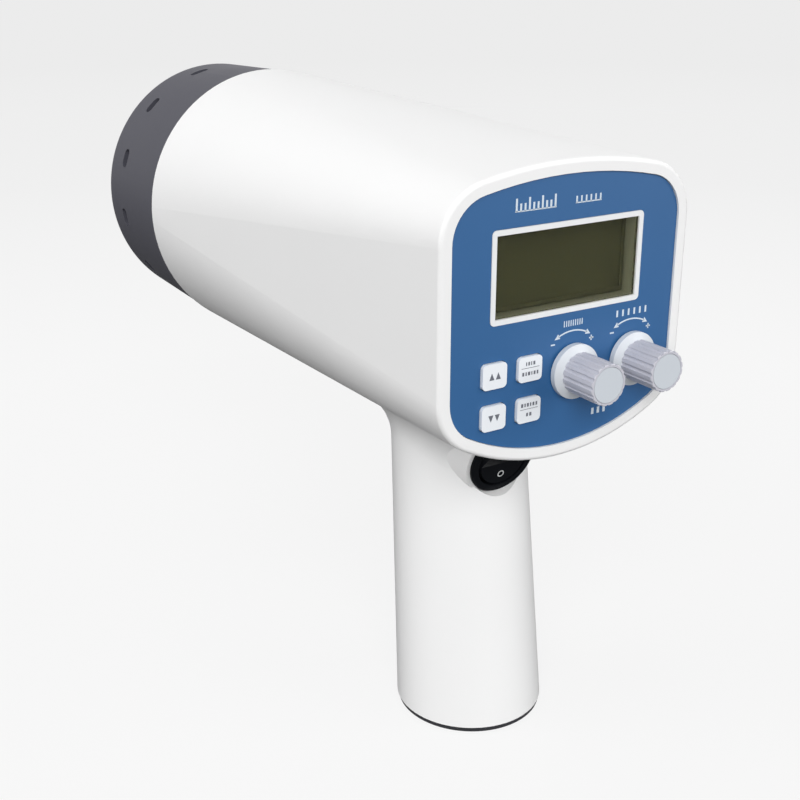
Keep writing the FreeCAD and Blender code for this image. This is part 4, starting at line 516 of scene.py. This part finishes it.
# ---------------------------------------------------------------- operators
class STROBE_OT_stage(bpy.types.Operator):
    """Camera, pale floor with backdrop, soft lights"""

    bl_idname = "strobe.stage"
    bl_label = "Stage"

    def execute(self, context):
        look = context.scene.strobe_stage
        camera_data = bpy.data.cameras.new("camera")
        camera = bpy.data.objects.new("camera", camera_data)
        context.scene.collection.objects.link(camera)
        camera_data.lens = look.lens
        camera_data.sensor_width = SENSOR_WIDTH
        camera_data.dof.use_dof = False
        camera_data.clip_start = 0.01
        camera.location = look.camera_place
        camera.rotation_euler = (math.radians(90) - look.elevation, 0, -look.azimuth)
        context.scene.camera = camera
        context.scene.view_settings.view_transform = "Standard"
        self.floor(look)
        self.world(context, look)
        for name, (place, size, mirrored) in SOFTBOXES.items():
            self.softbox(name, place, size, mirrored, getattr(look, name))
        return {"FINISHED"}

    def floor(self, look):
        """A round floor that curves up into a wall on every side."""
        deselect()
        bpy.ops.mesh.primitive_circle_add(vertices=96, radius=BOWL_RADIUS, fill_type="NGON")
        floor = bpy.context.object
        bpy.ops.object.mode_set(mode="EDIT")
        bpy.ops.mesh.inset(thickness=BOWL_BAND)
        self.pick_rim(floor)
        bpy.ops.mesh.extrude_region_move(TRANSFORM_OT_translate={"value": (0, 0, BOWL_RADIUS)})
        self.pick_rim(floor)
        bpy.ops.mesh.bevel(offset=BOWL_CURVE, segments=24)
        bpy.ops.mesh.select_all(action="SELECT")
        bpy.ops.mesh.normals_make_consistent(inside=True)
        bpy.ops.object.mode_set(mode="OBJECT")
        bpy.ops.object.shade_smooth()
        floor.name = "floor"
        floor.data.materials.append(self.backdrop(look))

    def pick_rim(self, floor):
        """Selects the edges round the floor, where it meets the wall."""
        bpy.ops.mesh.select_all(action="DESELECT")
        mesh = bmesh.from_edit_mesh(floor.data)
        for edge in mesh.edges:
            edge.select = all(vert.co.xy.length > BOWL_RADIUS - BOWL_NEARNESS
                              and vert.co.z < BOWL_NEARNESS for vert in edge.verts)
        bmesh.update_edit_mesh(floor.data)

    def world(self, context, look):
        """Weak light from all round, and the backdrop's tone where the room itself is seen."""
        world = bpy.data.worlds.new("studio")
        context.scene.world = world
        world.use_nodes = True
        nodes, links = world.node_tree.nodes, world.node_tree.links
        room = nodes["Background"]
        room.inputs["Color"].default_value = (1, 1, 1, 1)
        room.inputs["Strength"].default_value = look.room_light
        seen = nodes.new("ShaderNodeBackground")
        seen.inputs["Color"].default_value = rgba(look.far)
        mix = nodes.new("ShaderNodeMixShader")
        links.new(self.seen_directly(nodes, links), mix.inputs["Fac"])
        links.new(room.outputs["Background"], mix.inputs[1])
        links.new(seen.outputs["Background"], mix.inputs[2])
        links.new(mix.outputs["Shader"], nodes["World Output"].inputs["Surface"])

    def seen_directly(self, nodes, links, mirrored=None):
        """1 for what the camera or clear glass shows, and 0 for lighting. Reflections count too, by
        the mirrored output where there is one."""
        path = nodes.new("ShaderNodeLightPath")
        glossy = path.outputs["Is Glossy Ray"]
        if mirrored is not None:
            share = nodes.new("ShaderNodeMath")
            share.operation = "MULTIPLY"
            links.new(glossy, share.inputs[0])
            links.new(mirrored, share.inputs[1])
            glossy = share.outputs["Value"]
        seen = path.outputs["Is Camera Ray"]
        for other in (glossy, path.outputs["Is Transmission Ray"]):
            either = nodes.new("ShaderNodeMath")
            either.operation = "MAXIMUM"
            links.new(seen, either.inputs[0])
            links.new(other, either.inputs[1])
            seen = either.outputs["Value"]
        return seen

    def softbox(self, name, place, size, mirrored, power):
        """A square lamp that faces the object and is itself out of view."""
        light = bpy.data.lights.new(name, "AREA")
        light.shape = "SQUARE"
        light.size = size
        light.energy = power
        lamp = bpy.data.objects.new(name, light)
        bpy.context.scene.collection.objects.link(lamp)
        lamp.location = place
        lamp.visible_camera = False
        lamp.visible_glossy = mirrored
        aim = LAMPS_AIM - Vector(place)
        lamp.rotation_euler = aim.to_track_quat("-Z", "Y").to_euler()

    def backdrop(self, look):
        """Dark board for the light, seen as a pale floor that takes shadows near the object, with a
        painted pool of light that is brightest near the object and falls off to an even wall. Near
        the object, reflections show the dark board as painted shade."""
        material, nodes, links = new_material("backdrop")
        board = set_shader(material, Roughness=0.9)
        speckle = object_noise(nodes, links, SPECKLE_SCALE)
        set_tone(nodes, links, board, speckle, shade(look.board, 0.98), shade(look.board, 1.02))
        place = nodes.new("ShaderNodeTexCoord")
        reach = nodes.new("ShaderNodeVectorMath")
        reach.operation = "LENGTH"
        links.new(place.outputs["Object"], reach.inputs[0])
        away = nodes.new("ShaderNodeMapRange")
        away.inputs["From Min"].default_value = FLOOR_NEAR
        away.inputs["From Max"].default_value = FLOOR_FAR
        links.new(reach.outputs["Value"], away.inputs["Value"])
        # painted pool of light: the emitted floor tone is brightest near the object and falls off
        # with distance
        painted_light_falloff = ramp_between(nodes, links, away.outputs["Result"], look.backdrop, look.far)
        painted_light_falloff.color_ramp.elements.new(FLOOR_HALFWAY).color = rgba(look.halfway)
        shown = nodes.new("ShaderNodeEmission")
        links.new(painted_light_falloff.outputs["Color"], shown.inputs["Color"])
        pale = nodes.new("ShaderNodeBsdfDiffuse")
        pale.inputs["Color"].default_value = rgba(look.backdrop)
        lit = nodes.new("ShaderNodeMapRange")
        lit.inputs["To Min"].default_value = SHOWN_NEAR
        lit.inputs["From Max"].default_value = SHADOWS_END
        links.new(away.outputs["Result"], lit.inputs["Value"])
        inner = nodes.new("ShaderNodeMixShader")
        links.new(lit.outputs["Result"], inner.inputs["Fac"])
        links.new(pale.outputs["BSDF"], inner.inputs[1])
        links.new(shown.outputs["Emission"], inner.inputs[2])
        outer = nodes.new("ShaderNodeMixShader")
        # reflections near the object show the dark board as painted shade of the floor; further out
        # they show the pale floor
        links.new(self.seen_directly(nodes, links, away.outputs["Result"]), outer.inputs["Fac"])
        links.new(board.outputs["BSDF"], outer.inputs[1])
        links.new(inner.outputs["Shader"], outer.inputs[2])
        links.new(outer.outputs["Shader"], nodes["Material Output"].inputs["Surface"])
        return material


class STROBE_OT_housing(bpy.types.Operator):
    """Satin white housing, display frame, base cap"""

    bl_idname = "strobe.housing"
    bl_label = "Housing"

    def execute(self, context):
        look = context.scene.strobe_housing
        give(plastic("white_moulding", look.white, look.gloss, grain=1400.0,
                     depth=look.texture_depth, variation=0.008, Specular_IOR_Level=0.25),
             "housing")
        give(plastic("white_frame", look.frame_white, 0.32, depth=0.000006), "display_frame")
        give(plastic("dark_cap", look.foot_dark, 0.5, variation=0.1), "base_cap")
        give(plastic("inlet_black", (0.02, 0.02, 0.022), 0.35, variation=0.1), "power_inlet")
        give(metal("inlet_blade", (0.75, 0.74, 0.72), 0.25, (1, 1, 6)), "inlet_blades")
        zinc = metal("zinc_screw", (0.62, 0.62, 0.64), 0.35)
        give(zinc, "panel_screws", "carrier_screws", "control_screws", "power_screws",
             "pot_nuts")
        self.base_screws(zinc)
        return {"FINISHED"}

    def base_screws(self, zinc):
        """Two pan head screws with cross recesses, heads down, made once and copied."""
        low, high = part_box("base_screws")
        rear = self.pan_head_screw(low, high)
        front = rear.copy()
        front.data = rear.data.copy()
        bpy.context.scene.collection.objects.link(front)
        rear.location.y = low[Y] + SCREW_HEAD_RADIUS
        front.location.y = high[Y] - SCREW_HEAD_RADIUS
        screws = join([rear, front])
        finish_piece(screws, "base_screw_pair", "body", zinc)
        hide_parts("base_screws")

    def pan_head_screw(self, low, high):
        """One screw on the Z axis, as high as the box of the pair."""
        deselect()
        bpy.ops.mesh.primitive_cylinder_add(
            vertices=40, radius=SCREW_HEAD_RADIUS, depth=SCREW_HEAD_THICK,
            location=(0, 0, low[Z] + SCREW_HEAD_THICK / 2))
        screw = bpy.context.object
        bpy.ops.object.transform_apply(location=True, rotation=True, scale=True)
        bpy.ops.object.mode_set(mode="EDIT")
        self.pick_face(screw, 1)
        bpy.ops.mesh.inset(thickness=SCREW_HEAD_RADIUS - SCREW_SHANK_RADIUS)
        bpy.ops.mesh.extrude_region_move(
            TRANSFORM_OT_translate={"value": (0, 0, high[Z] - low[Z] - SCREW_HEAD_THICK)})
        bpy.ops.mesh.bevel(offset=SCREW_TIP_ROUND, segments=2)
        self.pick_face(screw, -1)
        bpy.ops.mesh.bevel(offset=SCREW_HEAD_ROUND, segments=4)
        bpy.ops.object.mode_set(mode="OBJECT")
        for wide, deep in ((CROSS_LENGTH, CROSS_WIDTH), (CROSS_WIDTH, CROSS_LENGTH)):
            self.cut_slot(screw, wide, deep, low[Z])
        bpy.ops.object.shade_smooth_by_angle(angle=math.radians(35))
        return screw

    def pick_face(self, screw, way):
        """Selects the highest face, or with way -1 the lowest."""
        bpy.ops.mesh.select_all(action="DESELECT")
        mesh = bmesh.from_edit_mesh(screw.data)
        face = max(mesh.faces, key=lambda face: way * face.calc_center_median().z)
        face.select = True
        bmesh.update_edit_mesh(screw.data)

    def cut_slot(self, screw, wide, deep, z):
        """Takes one slot of the cross recess out of the head."""
        deselect()
        bpy.ops.mesh.primitive_cube_add(size=1, location=(0, 0, z))
        cutter = bpy.context.object
        cutter.scale = (wide, deep, CROSS_CUT)
        bpy.ops.object.transform_apply(location=True, rotation=True, scale=True)
        deselect()
        bpy.context.view_layer.objects.active = screw
        screw.select_set(True)
        bpy.ops.object.modifier_add(type="BOOLEAN")
        screw.modifiers[-1].object = cutter
        bpy.ops.object.modifier_apply(modifier=screw.modifiers[-1].name)
        bpy.data.objects.remove(cutter)


class STROBE_OT_head(bpy.types.Operator):
    """Front ring, lens, reflector and flash tube"""

    bl_idname = "strobe.head"
    bl_label = "Lamp head"

    def execute(self, context):
        look = context.scene.strobe_head
        give(plastic("ring_dark", look.ring_dark, 0.45, grain=1100.0, depth=0.00002,
                     variation=0.05, Specular_IOR_Level=0.11), "front_ring")
        give(clear("lens_clear", look.lens_tint), "lens")
        give(plastic("gasket_rubber", (0.02, 0.02, 0.02), 0.8, variation=0.15), "lens_gasket")
        give(metal("spun_mirror", look.mirror, 0.08, (1, 12, 1), 60.0, 0.000003), "reflector")
        give(metal("carrier_plate", (0.6, 0.61, 0.63), 0.4), "lamp_carrier")
        give(plastic("lamp_ceramic", (0.8, 0.79, 0.75), 0.5), "lamp_base")
        give(clear("tube_quartz", (0.96, 0.98, 1.0), 0.01, 1.46), "flash_tube")
        give(metal("tungsten", (0.45, 0.45, 0.47), 0.4), "tube_electrodes")
        give(metal("nickel_wire", (0.7, 0.66, 0.58), 0.3), "trigger_wire")
        return {"FINISHED"}


class STROBE_OT_electronics(bpy.types.Operator):
    """Circuit boards, coils, transformer and capacitors"""

    bl_idname = "strobe.electronics"
    bl_label = "Electronics"

    def execute(self, context):
        give(plastic("board_green", (0.02, 0.13, 0.06), 0.45, variation=0.15), "lamp_board",
             "control_board", "power_board")
        give(plastic("potting", (0.03, 0.03, 0.03), 0.55, variation=0.2), "trigger_coil")
        give(metal("core_steel", (0.25, 0.24, 0.24), 0.5, (1, 20, 1)), "transformer_core")
        give(plastic("coil_tape", (0.75, 0.5, 0.06), 0.5, variation=0.1), "transformer_coil")
        give(plastic("can_sleeve", (0.03, 0.05, 0.12), 0.4, variation=0.1),
             "storage_capacitors")
        return {"FINISHED"}


class STROBE_OT_panel(bpy.types.Operator):
    """Blue overlay with its printed marks, and the plate and pillars behind it"""

    bl_idname = "strobe.panel"
    bl_label = "Control panel"

    def execute(self, context):
        look = context.scene.strobe_panel
        give(plastic("overlay_blue", look.blue, 0.42, grain=2600.0, depth=0.000008,
                     variation=0.04), "panel_overlay")
        give(metal("plate_metal", (0.62, 0.62, 0.65), 0.4), "panel_plate")
        give(plastic("nylon", (0.7, 0.7, 0.66), 0.5), "board_pillars")
        ink = plastic("print_white", look.print_white, 0.45, variation=0.02)
        y = PANEL_FACE - INK
        patches = []
        for side in KNOB_SIDES.values():
            patches += self.curved_arrow(look, side + KNOB_PRINT_SHIFT, y)
            patches += self.plus_and_minus(side, y)
        for name, side in KNOB_SIDES.items():
            patches += self.ticks(side + KNOB_PRINT_SHIFT, *TICKS[name], y)
        patches += self.flash_trains(y)
        printed(patches, "panel_print", "body", ink)
        return {"FINISHED"}

    def curved_arrow(self, look, side, y):
        """An arc over a knob with a head at each end."""
        radius, reach, z = look.arrow_radius, look.arrow_reach, KNOB_HEIGHT
        patches = [flat_arc(radius, look.arrow_width, -reach, reach, side, z, y)]
        for way in (-1, 1):
            angle = way * (reach + ARROW_HEAD_LEAD)
            patches.append(flat_triangle(ARROW_HEAD, side + radius * math.sin(angle),
                                         z + radius * math.cos(angle),
                                         angle + way * math.radians(90), y))
        return patches

    def plus_and_minus(self, side, y):
        """The signs at the two ends of a knob's arrow."""
        minus, plus, z = side + MINUS_SIDE, side + PLUS_SIDE, KNOB_HEIGHT + SIGN_HEIGHT
        return [flat_bar(MINUS_WIDTH, SIGN_LINE, minus, z, y),
                flat_bar(PLUS_WIDTH, SIGN_LINE, plus, z, y),
                flat_bar(SIGN_LINE, PLUS_WIDTH, plus, z, y)]

    def ticks(self, side, count, pitch, line, height, y):
        """A row of upright ticks over a knob: close for fine, wide apart for coarse."""
        start = side - pitch * (count - 1) / 2
        return bar_row(count, pitch, line, height, start, KNOB_HEIGHT + TICKS_HEIGHT, y)

    def flash_trains(self, y):
        """Two trains of flashes over base lines on top, and a short row under the left knob."""
        base = DISPLAY_HEIGHT + TRAINS_HEIGHT
        patches = [
            flat_bar(LEFT_LINE_WIDTH, TRAIN_LINE, LEFT_LINE_SIDE, base, y),
            flat_bar(RIGHT_LINE_WIDTH, TRAIN_LINE, RIGHT_LINE_SIDE, base + RIGHT_LINE_RISE, y),
        ]
        for number in range(FLASHES):
            tall = FLASH_TALL if number % 3 == 0 else FLASH_SHORT
            patches.append(flat_bar(FLASH_WIDTH, tall, FLASH_START + number * FLASH_PITCH,
                                    base + tall / 2, y))
        patches += bar_row(*RIGHT_FLASHES, base + RIGHT_FLASHES_RISE, y)
        patches += bar_row(*KNOB_ROW, KNOB_HEIGHT - KNOB_ROW_DROP, y)
        return patches


class STROBE_OT_display(bpy.types.Operator):
    """Tinted window, unlit cell, and the black parts on the boards"""

    bl_idname = "strobe.display"
    bl_label = "Display"

    def execute(self, context):
        look = context.scene.strobe_panel
        give(clear("window_tinted", look.window_tint, 0.015, 1.22), "display_glass")
        give(plastic("module_black", (0.02, 0.02, 0.02), 0.5), "display_module", "key_switches")
        give(metal("gold_pin", (0.8, 0.6, 0.25), 0.3), "display_pins")
        self.cell(look)
        return {"FINISHED"}

    def cell(self, look):
        """Glass cell on the module's face, with a polished edge round a slightly lower field."""
        low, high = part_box("display_glass")
        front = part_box("display_module")[0][Y]
        deselect()
        bpy.ops.mesh.primitive_cube_add(
            size=1, location=(DISPLAY_SIDE, front - CELL_THICK / 2, DISPLAY_HEIGHT))
        cell = bpy.context.object
        cell.scale = (high[X] - low[X] - CELL_MARGIN, CELL_THICK, high[Z] - low[Z] - CELL_MARGIN)
        bpy.ops.object.transform_apply(location=True, rotation=True, scale=True)
        bpy.ops.object.mode_set(mode="EDIT")
        bpy.ops.mesh.select_all(action="SELECT")
        bpy.ops.mesh.bevel(offset=CELL_ROUND, segments=2)
        bpy.ops.mesh.select_all(action="DESELECT")
        mesh = bmesh.from_edit_mesh(cell.data)
        face = max((face for face in mesh.faces if face.normal.y < -0.99),
                   key=lambda face: face.calc_area())
        face.select = True
        bmesh.update_edit_mesh(cell.data)
        bpy.ops.mesh.inset(thickness=CELL_EDGE)
        bpy.ops.mesh.extrude_region_move(TRANSFORM_OT_translate={"value": (0, CELL_SINK, 0)})
        bpy.ops.object.mode_set(mode="OBJECT")
        olive = plastic("cell_olive", look.display_olive, 0.3, grain=120.0, depth=0.0,
                        variation=0.04)
        finish_piece(cell, "display_cell", "body", olive)


class STROBE_OT_keys(bpy.types.Operator):
    """Four keys and their generic marks"""

    bl_idname = "strobe.keys"
    bl_label = "Keys"

    def execute(self, context):
        look = context.scene.strobe_panel
        give(plastic("key_white", look.key_white, 0.4, depth=0.000006), "key_double",
             "key_halve", "key_mode", "key_range")
        ink = plastic("key_ink", look.key_print, 0.5, variation=0.1)
        marks = {
            "key_double": self.twin_arrows(1),
            "key_halve": self.twin_arrows(-1),
            "key_mode": self.two_rows((0.3, 0.5, 0.3, 0.6), (0.6, 0.4, 0.7, 0.3, 0.6, 0.5)),
            "key_range": self.two_rows((0.7, 0.4, 0.6, 0.4, 0.6, 0.5), (0.6, 0.7)),
        }
        bodies = {"key_double": "double_key", "key_halve": "halve_key", "key_mode": "mode_key",
                  "key_range": "range_key"}
        for node, outlines in marks.items():
            x, z, y = middle(node, X), middle(node, Z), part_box(node)[0][Y] - INK
            patches = [flat_patch([(x + a, z + b) for a, b in outline], y)
                       for outline in outlines]
            printed(patches, f"{node}_print", bodies[node], ink)
        return {"FINISHED"}

    def twin_arrows(self, up):
        """Two arrow heads side by side, up for faster with up 1, down for slower with -1."""
        foot, point = -KEY_ARROW_FOOT * up, KEY_ARROW_POINT * up
        return [[(x - KEY_ARROW_HALF, foot), (x + KEY_ARROW_HALF, foot), (x, point)]
                for x in KEY_ARROW_SIDES]

    def two_rows(self, upper, lower):
        """Rows of pulses above and below a dividing line, with their widths in millimetres."""
        outlines = [bar_corners(KEY_LINE_WIDTH, KEY_LINE_THICK, 0, KEY_LINE_HEIGHT)]
        for widths, height in ((upper, KEY_UPPER_HEIGHT), (lower, KEY_LOWER_HEIGHT)):
            start = -(sum(widths) * MILLIMETRE + KEY_PULSE_GAP * (len(widths) - 1)) / 2
            for width in widths:
                width *= MILLIMETRE
                outlines.append(bar_corners(width, KEY_PULSE_TALL, start + width / 2, height))
                start += width + KEY_PULSE_GAP
        return outlines


class STROBE_OT_knobs(bpy.types.Operator):
    """Fluted knobs with skirts and end discs"""

    bl_idname = "strobe.knobs"
    bl_label = "Knobs"

    def execute(self, context):
        look = context.scene.strobe_controls
        give(plastic("knob_grey", look.knob_grey, 0.38), "fine_knob", "coarse_knob")
        give(plastic("knob_disc", look.disc_grey, 0.3), "fine_knob_cap", "coarse_knob_cap")
        give(plastic("skirt_white", look.skirt_white, 0.35), "fine_skirt", "coarse_skirt")
        give(metal("pot_case", (0.6, 0.6, 0.6), 0.35), "fine_pot", "coarse_pot")
        give(metal("pot_shaft", (0.7, 0.7, 0.7), 0.25), "fine_shaft", "coarse_shaft")
        return {"FINISHED"}


class STROBE_OT_power_switch(bpy.types.Operator):
    """Round rocker switch on the back of the grip"""

    bl_idname = "strobe.power_switch"
    bl_label = "Power switch"

    def execute(self, context):
        look = context.scene.strobe_controls
        give(plastic("switch_black", look.switch_black, 0.22, variation=0.15,
                     Specular_IOR_Level=0.05), "power_switch", "rocker")
        ink = plastic("switch_mark", look.switch_mark, 0.5, variation=0.05)
        off = [flat_arc(SWITCH_RING_RADIUS, SWITCH_MARK_LINE, 0, math.tau, 0, -SWITCH_MARK_PLACE,
                        0, steps=28)]
        on = [flat_bar(SWITCH_MARK_LINE, SWITCH_BAR_LENGTH, 0, SWITCH_MARK_PLACE, 0)]
        self.lay_on_rocker(printed(off, "mark_off", "power_rocker", ink), 0)
        self.lay_on_rocker(printed(on, "mark_on", "power_rocker", ink), 1)
        return {"FINISHED"}

    def lay_on_rocker(self, mark, upper):
        """Moves a mark from the drawing plane to the lower or upper half of the rocker."""
        turn = SWITCH_TILT + ROCKER_SLOPE * upper
        seat = Matrix.Translation(SWITCH_PIVOT) @ Matrix.Rotation(turn, 4, "X")
        mark.data.transform(seat @ Matrix.Translation((0, -ROCKER_FACE, 0)))


OPERATORS = (STROBE_OT_stage, STROBE_OT_housing, STROBE_OT_head, STROBE_OT_electronics,
             STROBE_OT_panel, STROBE_OT_display, STROBE_OT_keys, STROBE_OT_knobs,
             STROBE_OT_power_switch)


class STROBE_PT_sidebar(bpy.types.Panel):
    """Sizes, colours and steps of the stroboscope"""

    bl_label = "Stroboscope"
    bl_space_type = "VIEW_3D"
    bl_region_type = "UI"
    bl_category = "Stroboscope"

    def draw(self, context):
        for name in LOOKS:
            group = getattr(context.scene, name)
            column = self.layout.column()
            for item in group.__annotations__:
                column.prop(group, item)
        for operator in OPERATORS:
            self.layout.operator(operator.bl_idname)


def register():
    for name, group in LOOKS.items():
        bpy.utils.register_class(group)
        setattr(bpy.types.Scene, name, PointerProperty(type=group))
    for operator in OPERATORS:
        bpy.utils.register_class(operator)
    bpy.utils.register_class(STROBE_PT_sidebar)


def unregister():
    bpy.utils.unregister_class(STROBE_PT_sidebar)
    for operator in reversed(OPERATORS):
        bpy.utils.unregister_class(operator)
    for name, group in reversed(LOOKS.items()):
        delattr(bpy.types.Scene, name)
        bpy.utils.unregister_class(group)


def main():
    register()
    for operator in OPERATORS:
        group, name = operator.bl_idname.split(".")
        getattr(getattr(bpy.ops, group), name)()


if __name__ == "__main__":
    main()
